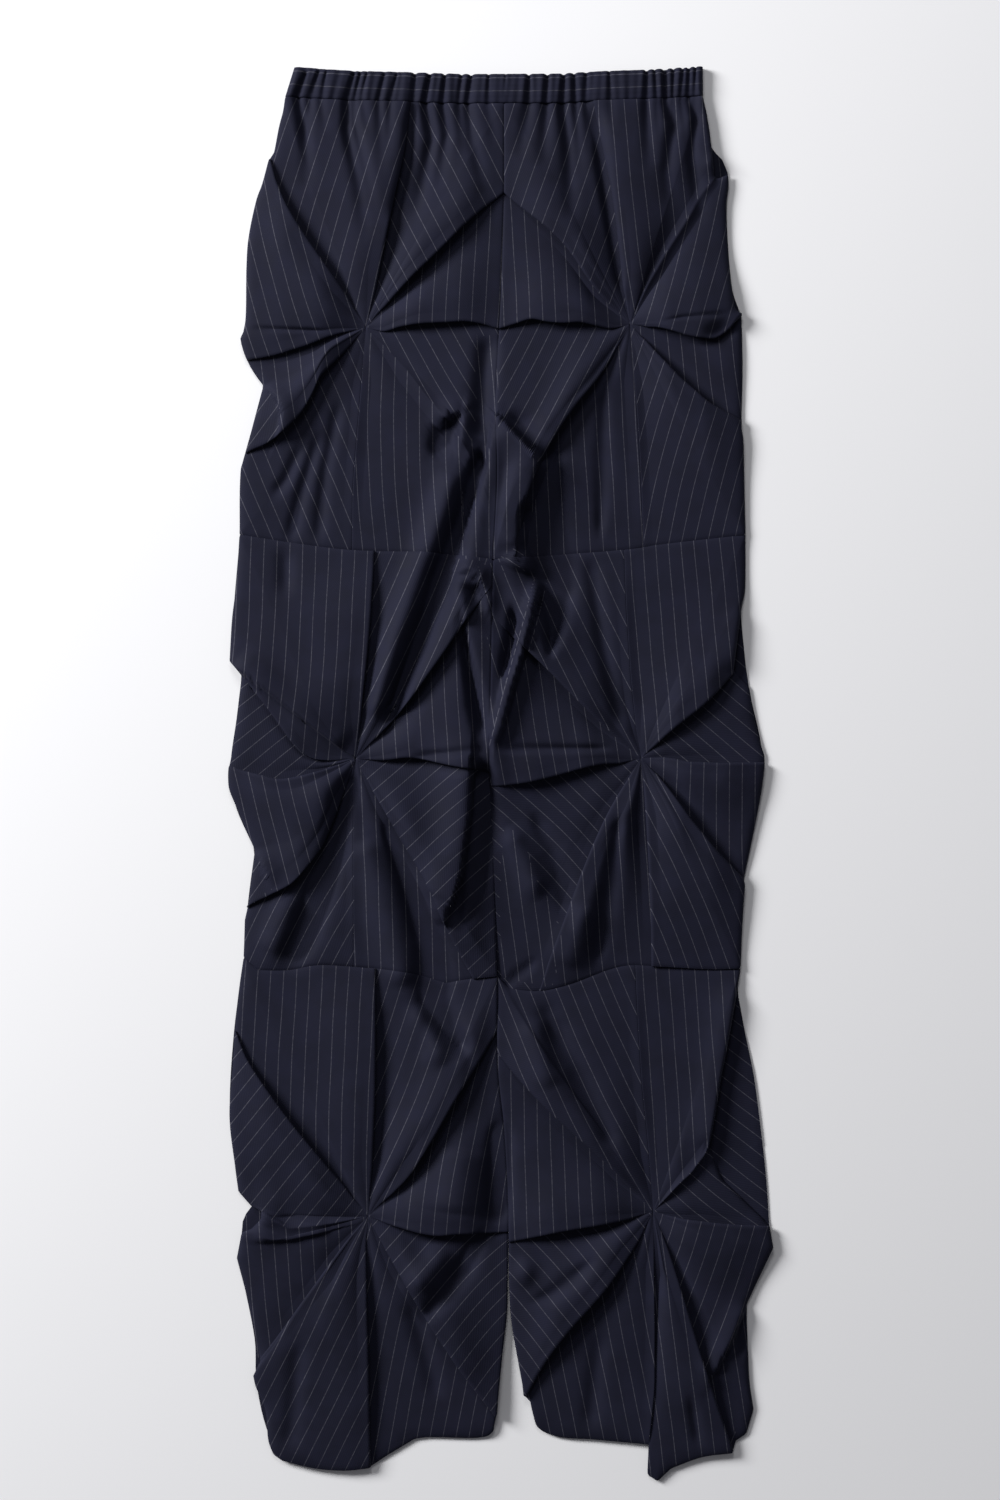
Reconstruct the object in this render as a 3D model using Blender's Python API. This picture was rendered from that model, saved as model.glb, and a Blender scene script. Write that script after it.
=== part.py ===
"""Pinstriped wide-leg trousers with a gathered waistband, laid flat with the front up.

X runs across, +Y runs to the waist, +Z up from the surface. Metres. Each front tier is a fan of cloth round one
point, folded into eight tucks; the tables give each tuck's end, its curve and which side lies on top.
"""
import math

import bmesh
import bpy
import numpy as np

for old in list(bpy.data.objects):
    bpy.data.objects.remove(old, do_unlink=True)

# Driving sizes in metres
LENGTH = 1.100
WIDTH = 0.423
CLOTH = 0.0013
SEAM_GAP = 0.0004
LAYER_GAP = 0.0003
BODY_RISE = 0.0032
LIFT_SCALE = 1.0
TUCK_SCALE = 0.4
LIP_HALF = 0.006
BAND_WALL = 0.0016
BAND_RISE = 0.0054
BAND_HEIGHT = 0.0225
GATHER_DEPTH = 0.0009
GATHERS = 34

# The tables are in millimetres for a garment 1100 long and 423 wide, and the shift centres it on the origin
SX = WIDTH / 0.423 * 0.001
SY = LENGTH / 1.100 * 0.001
SHIFT_X = 0.4
SHIFT_Y = -0.95

# Seams and edges: rows of x, y along each line, left to right or top to bottom
LINES = {
    "waist_left": [(-167.7, 528.5), (-125.6, 525.7), (-71.8, 524.2), (-32.0, 523.0), (2.3, 523.0)],
    "waist_right": [(2.3, 523.0), (46.0, 523.4), (73.3, 524.9), (116.2, 526.5), (156.8, 529.2)],
    "knee_left": [(-203.6, 187.6), (-158.3, 180.6), (-116.2, 175.5), (-55.4, 173.6), (-6.2, 168.1)],
    "knee_right": [(-6.2, 168.1), (45.2, 172.0), (92.0, 175.5), (123.2, 179.8), (190.3, 187.6)],
    "shin_left": [(-200.5, -142.3), (-188.8, -151.7), (-165.4, -151.7), (-143.5, -147.8), (-114.7, -149.0),
                  (-73.3, -153.3), (-42.9, -161.8), (-25.7, -158.7), (-3.1, -156.4)],
    "shin_right": [(-3.1, -156.4), (6.2, -165.8), (26.5, -168.1), (52.3, -162.6), (94.4, -148.6),
                   (120.1, -148.6), (164.6, -150.9), (186.4, -150.2)],
    "hem_left": [(-172.4, -534.7), (-148.2, -538.6), (-103.0, -539.4), (-88.9, -530.0), (-64.7, -516.0),
                 (-21.8, -516.8), (-8.6, -513.6)],
    "hem_right": [(28.9, -508.2), (39.8, -514.4), (59.3, -517.5), (115.4, -521.4), (117.4, -545.0),
                  (121.4, -550.3), (126.4, -548.0), (132.6, -540.9), (152.9, -532.4), (180.2, -527.7)],
    "centre_1": [(2.3, 523.0), (2.3, 455.1), (0.0, 378.7), (-3.9, 292.9), (-3.1, 230.5), (-6.2, 168.1)],
    "centre_2": [(-6.2, 168.1), (-8.6, 43.3), (-8.6, -7.4), (-5.5, -81.5), (-3.1, -156.4)],
    "inner_left": [(-3.1, -156.4), (-2.3, -229.7), (2.3, -274.2), (5.5, -334.2), (5.2, -405.0), (0.8, -469.2),
                   (-8.6, -513.6)],
    "inner_right": [(-3.1, -156.4), (-2.3, -229.7), (2.3, -274.2), (5.5, -334.2), (5.8, -405.0), (17.2, -479.3),
                    (28.9, -508.2)],
    "outer_left_1": [(-167.7, 528.5), (-173.2, 513.6), (-180.2, 478.5), (-190.3, 448.1), (-196.6, 418.5),
                     (-197.3, 381.0), (-202.0, 344.5), (-194.2, 326.4), (-184.9, 303.8), (-197.3, 253.1),
                     (-202.6, 232.0), (-203.6, 187.6)],
    "outer_left_2": [(-203.6, 187.6), (-207.5, 147.0), (-211.4, 87.8), (-202.6, 68.0), (-204.4, 53.4),
                     (-212.2, 5.9), (-201.2, -38.6), (-191.9, -57.3), (-197.3, -100.2), (-200.5, -142.3)],
    "outer_left_3": [(-200.5, -142.3), (-206.7, -200.8), (-211.4, -265.6), (-205.1, -323.3), (-187.0, -341.0),
                     (-205.9, -376.4), (-198.1, -410.7), (-187.2, -455.1), (-188.5, -470.0), (-183.3, -498.8),
                     (-172.4, -534.7)],
    "outer_right_1": [(156.8, 529.2), (164.6, 487.9), (166.1, 464.5), (176.3, 443.4), (177.8, 402.1),
                      (187.2, 359.2), (188.0, 308.5), (187.2, 274.2), (190.3, 235.0), (190.3, 187.6)],
    "outer_right_2": [(190.3, 187.6), (189.5, 144.7), (186.4, 127.5), (180.2, 81.5), (193.4, 68.2),
                      (205.1, 8.5), (198.1, -33.9), (189.5, -82.0), (189.3, -110.0), (186.4, -150.2)],
    "outer_right_3": [(186.4, -150.2), (177.1, -199.3), (163.0, -287.4), (172.4, -315.5), (209.8, -352.9),
                      (211.4, -369.3), (193.0, -413.8), (178.0, -465.0), (181.0, -500.0), (180.2, -527.7)],
    "back_left_1": [(-167.7, 528.5), (-177.1, 491.8), (-190.3, 448.1), (-196.6, 418.5), (-197.3, 381.0),
                    (-202.0, 344.5), (-197.7, 323.3), (-186.0, 303.8), (-198.9, 250.8), (-202.6, 232.0),
                    (-203.6, 187.6)],
    "back_left_2": [(-203.6, 187.6), (-209.0, 121.0), (-210.0, 90.0), (-202.5, 76.0), (-206.0, 45.2),
                    (-211.0, 6.0), (-207.5, -22.0), (-192.5, -58.0), (-197.5, -100.0), (-200.5, -142.3)],
    "back_left_3": [(-200.5, -142.3), (-208.3, -200.8), (-211.4, -265.6), (-205.1, -323.3), (-196.0, -338.0),
                    (-203.6, -376.4), (-192.0, -440.0), (-192.7, -473.1), (-182.5, -510.0), (-171.0, -530.0)],
    "back_right_1": [(156.8, 529.2), (164.6, 487.9), (172.4, 478.5), (177.1, 467.6), (176.3, 443.4),
                     (180.0, 380.0), (187.6, 340.0), (187.2, 274.2), (190.3, 187.6)],
    "back_right_2": [(190.3, 187.6), (188.0, 120.0), (193.4, 68.2), (203.6, 7.4), (189.5, -81.5),
                     (186.4, -150.2)],
    "back_right_3": [(186.4, -150.2), (188.8, -192.3), (203.6, -289.0), (209.0, -352.9), (194.0, -409.0),
                     (194.2, -469.2), (197.3, -494.1), (191.9, -512.9), (181.7, -518.0)],
    "back_hem_left": [(-171.0, -530.0), (-103.0, -533.0), (-60.0, -511.0), (-9.5, -510.0)],
    "back_hem_right": [(28.4, -506.0), (59.3, -513.0), (116.0, -517.0), (181.7, -518.0)],
}

# Blocks: star centre x, y and the four lines round the tier: top, right side, bottom, left side
BLOCKS = {
    "left_1": (-105.3, 349.1, "waist_left", "centre_1", "knee_left", "outer_left_1"),
    "right_1": (100.6, 351.4, "waist_right", "outer_right_1", "knee_right", "centre_1"),
    "left_2": (-113.1, 12.9, "knee_left", "centre_2", "shin_left", "outer_left_2"),
    "right_2": (109.2, 13.7, "knee_right", "outer_right_2", "shin_right", "centre_2"),
    "left_3": (-103.7, -343.6, "shin_left", "inner_left", "hem_left", "outer_left_3"),
    "right_3": (118.6, -339.7, "shin_right", "outer_right_3", "hem_right", "inner_right"),
}

# Tucks, clockwise from the waist: end x, y, bow at a third and two thirds, side on top (-1 the side before it
# clockwise, +1 the side after), lift at mid length, lift at the end, depth turned under; millimetres
TUCKS = {
    "left_1": [
        (-71.8, 524.2, -1.1, -2.1, -1, 8.5, 3.2, 4.0),
        (2.3, 455.1, 3.6, 3.5, -1, 9.0, 2.0, 4.0),
        (-0.8, 349.1, 2.7, 4.7, -1, 7.5, 2.0, 3.5),
        (-3.1, 199.3, 8.3, 11.3, -1, 2.6, 1.2, 0.0),
        (-116.2, 175.5, -1.1, -2.3, 1, 2.2, 1.0, 0.0),
        (-197.3, 253.1, 0.6, 10.2, 1, 9.0, 3.0, 4.0),
        (-200.0, 346.0, 5.1, 10.8, -1, 2.6, 1.6, 0.0),
        (-180.2, 478.5, 3.9, 7.4, -1, 8.0, 3.0, 4.0),
    ],
    "right_1": [
        (73.3, 524.9, -2.0, -2.4, 1, 8.5, 3.2, 4.0),
        (166.1, 464.5, 3.4, 2.4, -1, 2.6, 1.6, 0.0),
        (187.2, 359.2, 0.0, 1.3, -1, 8.5, 3.6, 4.0),
        (187.2, 274.2, -5.1, -6.3, 1, 7.5, 3.0, 3.5),
        (111.0, 178.2, 0.9, 1.1, 1, 2.2, 1.0, 0.0),
        (9.4, 169.7, -9.2, -15.0, 1, 10.5, 3.0, 4.5),
        (-0.8, 349.1, -2.3, -6.1, 1, 7.5, 2.0, 3.5),
        (2.3, 455.1, -1.0, -6.2, 1, 8.5, 2.0, 4.0),
    ],
    "left_2": [
        (-99.8, 175.0, -0.5, -1.1, -1, 7.5, 2.6, 3.5),
        (-6.8, 148.6, -3.9, -1.3, -1, 9.5, 2.4, 4.0),
        (-8.6, 4.3, 4.7, 2.7, -1, 7.5, 2.0, 3.5),
        (-20.3, -158.0, 2.2, 2.5, -1, 10.5, 2.6, 4.5),
        (-114.7, -149.0, -1.6, -0.8, 1, 2.2, 1.0, 0.0),
        (-197.3, -100.2, 5.0, 14.0, 1, 8.5, 3.2, 3.0),
        (-212.2, 5.9, 9.5, 11.5, -1, 8.5, 3.4, 4.0),
        (-211.4, 87.8, 0.2, -0.7, 1, 3.0, 2.0, 0.0),
    ],
    "right_2": [
        (95.9, 175.8, 2.8, 2.2, -1, 2.4, 1.2, 0.0),
        (180.2, 81.5, 0.7, -2.0, -1, 8.5, 3.2, 4.0),
        (205.1, 8.5, -1.8, -1.8, 1, 7.5, 3.2, 3.5),
        (189.5, -82.0, -0.6, -2.2, 1, 8.5, 3.2, 4.0),
        (118.6, -148.6, 2.7, 2.2, 1, 3.0, 1.4, 0.0),
        (30.4, -167.3, -6.5, -4.1, 1, 9.5, 2.6, 4.0),
        (-8.6, -7.4, -1.9, 1.5, 1, 8.0, 2.0, 4.0),
        (-7.0, 125.2, 0.7, -0.4, 1, 9.0, 2.2, 4.0),
    ],
    "left_3": [
        (-99.1, -150.6, -1.7, -1.5, -1, 7.5, 2.6, 3.5),
        (-2.7, -197.0, -7.2, -2.8, -1, 10.0, 2.4, 4.5),
        (5.4, -354.5, -6.3, -4.4, -1, 8.0, 2.0, 4.0),
        (-3.9, -491.4, -2.5, -3.3, -1, 9.5, 2.6, 4.0),
        (-103.0, -539.4, -2.4, -0.8, 1, 6.5, 3.0, 3.0),
        (-187.2, -455.1, -0.9, -0.1, -1, 6.5, 3.0, 3.0),
        (-187.0, -341.0, 5.6, 9.7, -1, 3.0, 1.8, 0.0),
        (-206.7, -200.8, 4.6, 6.5, -1, 8.5, 3.2, 4.0),
    ],
    "right_3": [
        (104.5, -148.6, 0.6, 1.4, 1, 2.4, 1.2, 0.0),
        (163.0, -287.4, -0.9, -2.9, -1, 3.6, 2.6, 0.0),
        (209.8, -352.9, -3.5, -2.7, 1, 6.5, 3.2, 3.0),
        (180.2, -527.7, 0.6, -0.9, 1, 6.5, 3.2, 3.0),
        (115.4, -521.4, 1.7, 3.1, 1, 3.0, 2.0, 0.0),
        (22.6, -494.0, 2.6, -3.2, 1, 9.5, 2.8, 4.0),
        (5.5, -362.3, 0.4, -0.8, 1, 8.0, 2.0, 4.0),
        (-1.2, -214.1, -1.8, 2.2, 1, 9.5, 2.4, 4.0),
    ],
}

# Section across a tuck from the top side to the lower side: where it runs when flat, when folded (share of the
# half width, then share of the depth turned under), and its share of the lift
FOLDED_SECTION = [
    (-1.00, -1.00, 0.0, 1.00),
    (-0.35, -0.25, 0.0, 0.97),
    (0.00, 0.00, 0.0, 0.74),
    (0.30, 0.00, -1.0, 0.46),
    (0.60, 0.00, -1.0, 0.10),
    (1.00, 1.00, 0.0, 0.00),
]
CREASE_SECTION = [
    (-1.00, -1.00, 0.0, 0.55),
    (0.00, 0.00, 0.0, 1.00),
    (1.00, 1.00, 0.0, 0.00),
]
RADIAL = [0.13, 0.33, 0.55, 0.77, 0.90, 1.0]


def smooth(a, b, v):
    w = min(max((v - a) / (b - a), 0.0), 1.0)
    return w * w * (3.0 - 2.0 * w)


def spot(x, y):
    """A table row's point in metres."""
    return np.array(((x + SHIFT_X) * SX, (y + SHIFT_Y) * SY))


def line(name):
    return [spot(x, y) for x, y in LINES[name]]


class Block:
    """One tier of one leg: a fan from the star's centre out to the lines round it."""

    def __init__(self, name):
        cx, cy, top, right, bottom, left = BLOCKS[name]
        self.centre = spot(cx, cy)
        sides = [line(top), line(right), line(bottom)[::-1], line(left)[::-1]]
        kinds = [top, right, bottom, left]
        self.points = []
        self.edge = []
        for side, kind in zip(sides, kinds):
            for p in side[:-1]:
                self.points.append(p)
                self.edge.append(1.0 if "outer" in kind or "hem" in kind else 0.0)
        self.points.append(self.points[0])
        self.edge.append(self.edge[0])
        steps = [np.linalg.norm(b - a) for a, b in zip(self.points, self.points[1:])]
        self.arc = np.concatenate(([0.0], np.cumsum(steps)))
        self.total = self.arc[-1]
        self.tucks = []
        last = None
        for ex, ey, bow_a, bow_b, top_side, lift, end, depth in TUCKS[name]:
            t = self.nearest(spot(ex, ey))
            if last is not None and t < last:
                t += self.total
            last = t
            reach = self.ring(t) - self.centre
            size = np.linalg.norm(reach)
            chord = reach / size
            slant = []
            for step in (-0.012, 0.012):
                along = self.ring(t + step) - self.ring(t)
                along = along / np.linalg.norm(along)
                slant.append(max(abs(chord[0] * along[1] - chord[1] * along[0]), 0.50))
            self.tucks.append({
                "t": t, "size": size, "slant": slant, "side": np.array((-chord[1], chord[0])),
                "bows": (bow_a * 0.001, bow_b * 0.001), "top": top_side,
                "lift": lift * 0.001 * LIFT_SCALE, "end": end * 0.001 * LIFT_SCALE,
                "depth": depth * 0.001 * TUCK_SCALE,
                "section": FOLDED_SECTION if depth > 0.0 else CREASE_SECTION,
            })

    def nearest(self, p):
        best = (1e9, 0.0)
        for i in range(len(self.points) - 1):
            a, b = self.points[i], self.points[i + 1]
            d = b - a
            s = min(max(float(np.dot(p - a, d) / np.dot(d, d)), 0.0), 1.0)
            gap = np.linalg.norm(a + d * s - p)
            if gap < best[0]:
                best = (gap, self.arc[i] + np.linalg.norm(d) * s)
        return best[1]

    def locate(self, t):
        t = t % self.total
        i = min(int(np.searchsorted(self.arc, t, side="right")) - 1, len(self.points) - 2)
        return i, (t - self.arc[i]) / (self.arc[i + 1] - self.arc[i])

    def ring(self, t):
        i, s = self.locate(t)
        return self.points[i] * (1.0 - s) + self.points[i + 1] * s

    def outside(self, t):
        i, s = self.locate(t)
        return self.edge[i]

    def bend(self, k, r):
        tuck = self.tucks[k % 8]
        a, b = tuck["bows"]
        amount = a * 13.5 * r * (r - 2.0 / 3.0) * (r - 1.0) - b * 13.5 * r * (r - 1.0 / 3.0) * (r - 1.0)
        return tuck["side"] * amount

    def tuck_t(self, k):
        return self.tucks[k % 8]["t"] + (self.total if k >= 8 else 0.0)

    def place(self, t, r):
        k = 0
        while k < 8 and self.tuck_t(k + 1) <= t:
            k += 1
        if t < self.tuck_t(0):
            t += self.total
            k = 7
        a, b = self.tuck_t(k), self.tuck_t(k + 1)
        u = min(max((t - a) / (b - a), 0.0), 1.0)
        plain = self.centre + (self.ring(t) - self.centre) * r
        return plain + self.bend(k, r) * (1.0 - u) + self.bend(k + 1, r) * u

    def base(self, t, r):
        low = CLOTH + LAYER_GAP + CLOTH / 2
        rim = low if self.outside(t) else BODY_RISE
        return BODY_RISE + (rim - BODY_RISE) * r ** 4

    def lift(self, k, r):
        tuck = self.tucks[k % 8]
        top = tuck["lift"] * smooth(0.0, 0.45, r)
        return top + (tuck["end"] - top) * smooth(0.62, 1.05, r) / 0.957 if r > 0.62 else top

    def folded(self, k, r):
        """How far the cloth is turned under at r: none near the star's point and near the seams."""
        tuck = self.tucks[k % 8]
        return smooth(0.20, 0.50, r) * (1.0 - smooth(0.79, 0.89, r)) if tuck["depth"] > 0.0 else 0.0

    def half(self, k, r):
        """Half width of the tuck's section at r."""
        return LIP_HALF * min(1.0, r * self.tucks[k % 8]["size"] / 0.045)

    def beside_t(self, k, r, along):
        """The ring place of a point beside tuck k, along metres to its clockwise side."""
        slant = self.tucks[k % 8]["slant"][1 if along > 0.0 else 0]
        return self.tuck_t(k) + along / (r * slant)

    def tuck_row(self, k, r):
        """The section across tuck k at r, clockwise: rows of distance beside it, height and how folded it is."""
        tuck = self.tucks[k % 8]
        lift = self.lift(k, r)
        folded = self.folded(k, r)
        half = self.half(k, r)
        rows = []
        for flat, wide, deep, share in tuck["section"]:
            along = flat * half * (1.0 - folded) + (wide * half + deep * tuck["depth"]) * folded
            rows.append((along * -tuck["top"], lift * share, folded))
        return rows[::-1] if tuck["top"] > 0 else rows


def stations(block, k):
    """Ring places between tucks k and k + 1 at the rim: every corner of the lines, and more where they are far apart."""
    a = block.beside_t(k, 1.0, block.half(k, 1.0))
    b = block.beside_t(k + 1, 1.0, -block.half(k + 1, 1.0))
    marks = []
    for turn in (0.0, block.total):
        for t in block.arc[:-1]:
            if a + 0.003 < t + turn < b - 0.003:
                marks.append(t + turn)
    marks.sort()
    full = []
    prior = a
    for t in marks + [b]:
        extra = int((t - prior) / 0.060)
        for i in range(extra):
            full.append(prior + (t - prior) * (i + 1) / (extra + 1))
        if t != b:
            full.append(t)
        prior = t
    return [(t - a) / (b - a) for t in full]


def panel(block, first, last):
    """Mid surface of the cloth from tuck first to tuck last, clockwise, and how folded each point of it is."""
    grid = []
    flags = []
    shares = [stations(block, k) for k in range(first, last)]
    for r in RADIAL:
        row = []
        marks = []

        def put(t, height, folded):
            x, y = block.place(t, r)
            row.append((x, y, block.base(t, r) + height))
            marks.append(folded)

        for k in range(first, last + 1):
            rows = block.tuck_row(k, r)
            top_side = block.tucks[k % 8]["top"]
            if k == first:
                start = 1 if len(rows) == 3 else 3 if top_side > 0 else 4
                rows = rows[start:]
                rows[0] = (max(rows[0][0], 0.0) if rows[0][2] < 0.02 else rows[0][0], *rows[0][1:])
                rows[0] = (rows[0][0] + SEAM_GAP / 2, *rows[0][1:])
            elif k == last:
                stop = 2 if len(rows) == 3 else 3 if top_side < 0 else 2
                rows = rows[:stop]
                rows[-1] = (min(rows[-1][0], 0.0) if rows[-1][2] < 0.02 else rows[-1][0], *rows[-1][1:])
                rows[-1] = (rows[-1][0] - SEAM_GAP / 2, *rows[-1][1:])
            for along, height, folded in rows:
                put(block.beside_t(k, r, along), height, folded)
            if k < last:
                t_a = block.beside_t(k, r, block.half(k, r))
                t_b = block.beside_t(k + 1, r, -block.half(k + 1, r))
                z_a = rows[-1][1]
                z_b = block.tuck_row(k + 1, r)[0][1]
                for u in shares[k - first]:
                    put(t_a + (t_b - t_a) * u, z_a + (z_b - z_a) * u, 0.0)
        grid.append(row)
        flags.append(marks)
    return grid, flags


def wall(name, block, first, last, colour):
    grid, flags = panel(block, first, last)
    count = len(grid[0])
    mesh = bmesh.new()
    centre_t = block.tuck_t(first)
    inward = block.place((block.tuck_t(first) + block.tuck_t(last)) / 2, 0.13) - block.centre
    tip = block.centre + inward / np.linalg.norm(inward) * SEAM_GAP
    points = [(tip[0], tip[1], BODY_RISE)]
    for row in grid:
        points.extend(row)
    points = np.array(points)
    faces = [(0, 1 + i + 1, 1 + i) for i in range(count - 1)]
    for j in range(len(grid) - 1):
        for i in range(count - 1):
            a = 1 + j * count + i
            b = a + 1
            c = a + count + 1
            d = a + count
            faces.append((a, b, c))
            faces.append((a, c, d))
    normals = np.zeros_like(points)
    for a, b, c in faces:
        n = np.cross(points[b] - points[a], points[c] - points[a])
        for v in (a, b, c):
            normals[v] += n
    if normals[:, 2].sum() < 0.0:
        normals = -normals
        faces = [(a, c, b) for a, b, c in faces]
    normals /= np.linalg.norm(normals, axis=1)[:, None]
    normals[0] = (0.0, 0.0, 1.0)
    rim = 1 + (len(grid) - 1) * count
    up = np.array((0.0, 0.0, 1.0))
    for i in range(count):
        normals[rim + i] = up
    for j in range(len(grid)):
        for i in (0, count - 1):
            folded = flags[j][i]
            n = up * (1.0 - folded) + normals[1 + j * count + i] * folded
            normals[1 + j * count + i] = n / np.linalg.norm(n)
    ring = [0] + [1 + j * count for j in range(len(grid))] + [rim + i for i in range(1, count)]
    ring += [1 + j * count + count - 1 for j in range(len(grid) - 2, -1, -1)]
    for i in range(count):
        reach = points[rim + i, :2] - block.centre
        size = np.linalg.norm(reach)
        points[rim + i, :2] = block.centre + reach * (1.0 - SEAM_GAP / 2 / 0.8 / size)
    upper = [mesh.verts.new(p + n * CLOTH / 2) for p, n in zip(points, normals)]
    lower = [mesh.verts.new(p - n * CLOTH / 2) for p, n in zip(points, normals)]
    for a, b, c in faces:
        mesh.faces.new((upper[a], upper[b], upper[c]))
        mesh.faces.new((lower[c], lower[b], lower[a]))
    for a, b in zip(ring, ring[1:] + ring[:1]):
        mesh.faces.new((upper[b], upper[a], lower[a]))
        mesh.faces.new((upper[b], lower[a], lower[b]))
    bmesh.ops.recalc_face_normals(mesh, faces=mesh.faces)
    return finish(name, mesh, colour, smooth_faces=True)


def finish(name, mesh, colour, smooth_faces):
    data = bpy.data.meshes.new(name)
    mesh.to_mesh(data)
    mesh.free()
    thing = bpy.data.objects.new(name, data)
    bpy.context.collection.objects.link(thing)
    for polygon in data.polygons:
        polygon.use_smooth = smooth_faces
    material = bpy.data.materials.new(name)
    material.use_nodes = True
    shader = material.node_tree.nodes["Principled BSDF"]
    shader.inputs["Base Color"].default_value = (*colour, 1.0)
    shader.inputs["Roughness"].default_value = 0.85
    data.materials.append(material)
    return thing


def inset(outline, gap):
    """Moves each corner of a clockwise outline inwards by the gap."""
    moved = []
    for i, p in enumerate(outline):
        before = p - outline[i - 1]
        after = outline[(i + 1) % len(outline)] - p
        n = np.array((before[1], -before[0])) / np.linalg.norm(before)
        m = np.array((after[1], -after[0])) / np.linalg.norm(after)
        both = n + m
        both /= max(float(np.dot(both, n)), 0.5)
        moved.append(p + both * gap)
    return moved


def back_panel(name, top, right, bottom, left, colour):
    outline = line(top)[:-1] + line(right)[:-1] + line(bottom)[::-1][:-1] + line(left)[::-1][:-1]
    outline = inset(outline, SEAM_GAP / 2)
    mesh = bmesh.new()
    upper = [mesh.verts.new((p[0], p[1], CLOTH)) for p in outline]
    lower = [mesh.verts.new((p[0], p[1], 0.0)) for p in outline]
    mesh.faces.new(upper)
    mesh.faces.new(lower[::-1])
    for i in range(len(outline)):
        j = (i + 1) % len(outline)
        mesh.faces.new((upper[i], upper[j], lower[j], lower[i]))
    bmesh.ops.recalc_face_normals(mesh, faces=mesh.faces)
    bmesh.ops.triangulate(mesh, faces=mesh.faces)
    return finish(name, mesh, colour, smooth_faces=False)


def waistband(colour):
    """The elasticated band: a flattened tube, its front layer rippled by the gathers, open up and down."""
    foot = line("waist_left") + line("waist_right")[1:]
    steps = np.concatenate(([0.0], np.cumsum([np.linalg.norm(b - a) for a, b in zip(foot, foot[1:])])))
    across = steps[-1]
    turn = BAND_RISE / 2 - BAND_WALL / 4
    count = GATHERS * 2
    rows = []

    def along_foot(s):
        i = min(int(np.searchsorted(steps, s, side="right")) - 1, len(foot) - 2)
        w = (s - steps[i]) / (steps[i + 1] - steps[i])
        return foot[i] * (1.0 - w) + foot[i + 1] * w

    low = BAND_WALL / 2
    high = BAND_RISE
    middle = (low + high) / 2
    bend = (high - low) / 2
    for i in range(count + 1):
        s = i / count
        reach = bend + (across - 2 * bend) * s
        calm = smooth(0.0, 0.03, s) * smooth(0.0, 0.03, 1.0 - s)
        ripple = GATHER_DEPTH * (1.0 if i % 2 else -1.0) * (0.75 + 0.25 * math.sin(i * 1.7)) * calm
        rows.append((along_foot(reach), high + ripple, (0.0, 1.0), abs(ripple) * 0.35 * (i % 2)))
    for q in (0.5, 0.0, -0.5):
        p = along_foot(across - bend)
        rows.append((p + np.array((bend * math.cos(q * math.pi / 2), 0.0)), middle + bend * math.sin(q * math.pi / 2),
                     (math.cos(q * math.pi / 2), math.sin(q * math.pi / 2)), 0.0))
    back = 8
    for i in range(back + 1):
        s = 1.0 - i / back
        rows.append((along_foot(bend + (across - 2 * bend) * s), low, (0.0, -1.0), 0.0))
    for q in (-0.5, 0.0, 0.5):
        p = along_foot(bend)
        rows.append((p - np.array((bend * math.cos(q * math.pi / 2), 0.0)), middle + bend * math.sin(q * math.pi / 2),
                     (-math.cos(q * math.pi / 2), math.sin(q * math.pi / 2)), 0.0))
    heights = [0.0, 0.5, 1.0]
    swell = [0.0, 0.0006, 0.0]
    mesh = bmesh.new()
    outer = []
    inner = []
    for p, z, n, scallop in rows:
        front = smooth(middle, high, z)
        outs = []
        ins = []
        for h, puff in zip(heights, swell):
            y = p[1] + SEAM_GAP + (BAND_HEIGHT - scallop) * h
            out = BAND_WALL / 2 + puff * front
            outs.append(mesh.verts.new((p[0] + n[0] * out, y, z + n[1] * out)))
            ins.append(mesh.verts.new((p[0] - n[0] * BAND_WALL / 2, y, z - n[1] * BAND_WALL / 2)))
        outer.append(outs)
        inner.append(ins)
    total = len(rows)
    for i in range(total):
        j = (i + 1) % total
        for h in range(len(heights) - 1):
            mesh.faces.new((outer[i][h], outer[j][h], outer[j][h + 1], outer[i][h + 1]))
            mesh.faces.new((inner[j][h], inner[i][h], inner[i][h + 1], inner[j][h + 1]))
        mesh.faces.new((outer[j][0], outer[i][0], inner[i][0], inner[j][0]))
        mesh.faces.new((outer[i][-1], outer[j][-1], inner[j][-1], inner[i][-1]))
    bmesh.ops.recalc_face_normals(mesh, faces=mesh.faces)
    bmesh.ops.triangulate(mesh, faces=mesh.faces)
    return finish("waistband", mesh, colour, smooth_faces=True)


NAVY = (0.0137, 0.0160, 0.0331)
PALE_NAVY = (0.020, 0.023, 0.045)

for leg in ("left", "right"):
    for tier in ("1", "2", "3"):
        block = Block(leg + "_" + tier)
        east, west = ("inner", "outer") if leg == "left" else ("outer", "inner")
        wall("front_" + leg + "_" + tier + "_" + east, block, 0, 4, NAVY)
        wall("front_" + leg + "_" + tier + "_" + west, block, 4, 8, PALE_NAVY)

back_panel("back_left_1", "waist_left", "centre_1", "knee_left", "back_left_1", NAVY)
back_panel("back_left_2", "knee_left", "centre_2", "shin_left", "back_left_2", PALE_NAVY)
back_panel("back_left_3", "shin_left", "inner_left", "back_hem_left", "back_left_3", NAVY)
back_panel("back_right_1", "waist_right", "back_right_1", "knee_right", "centre_1", NAVY)
back_panel("back_right_2", "knee_right", "back_right_2", "shin_right", "centre_2", PALE_NAVY)
back_panel("back_right_3", "shin_right", "back_right_3", "back_hem_right", "inner_right", NAVY)
waistband(NAVY)
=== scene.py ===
"""Pinstriped wide-leg trousers with a gathered waistband, laid flat on a white table with the front up.

Every tier of each leg is a fan of cloth round one point, folded into eight tucks. X runs across, +Y runs to
the waist and +Z is up from the table. The tables are in millimetres; all else is in metres.
"""
import math

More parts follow.
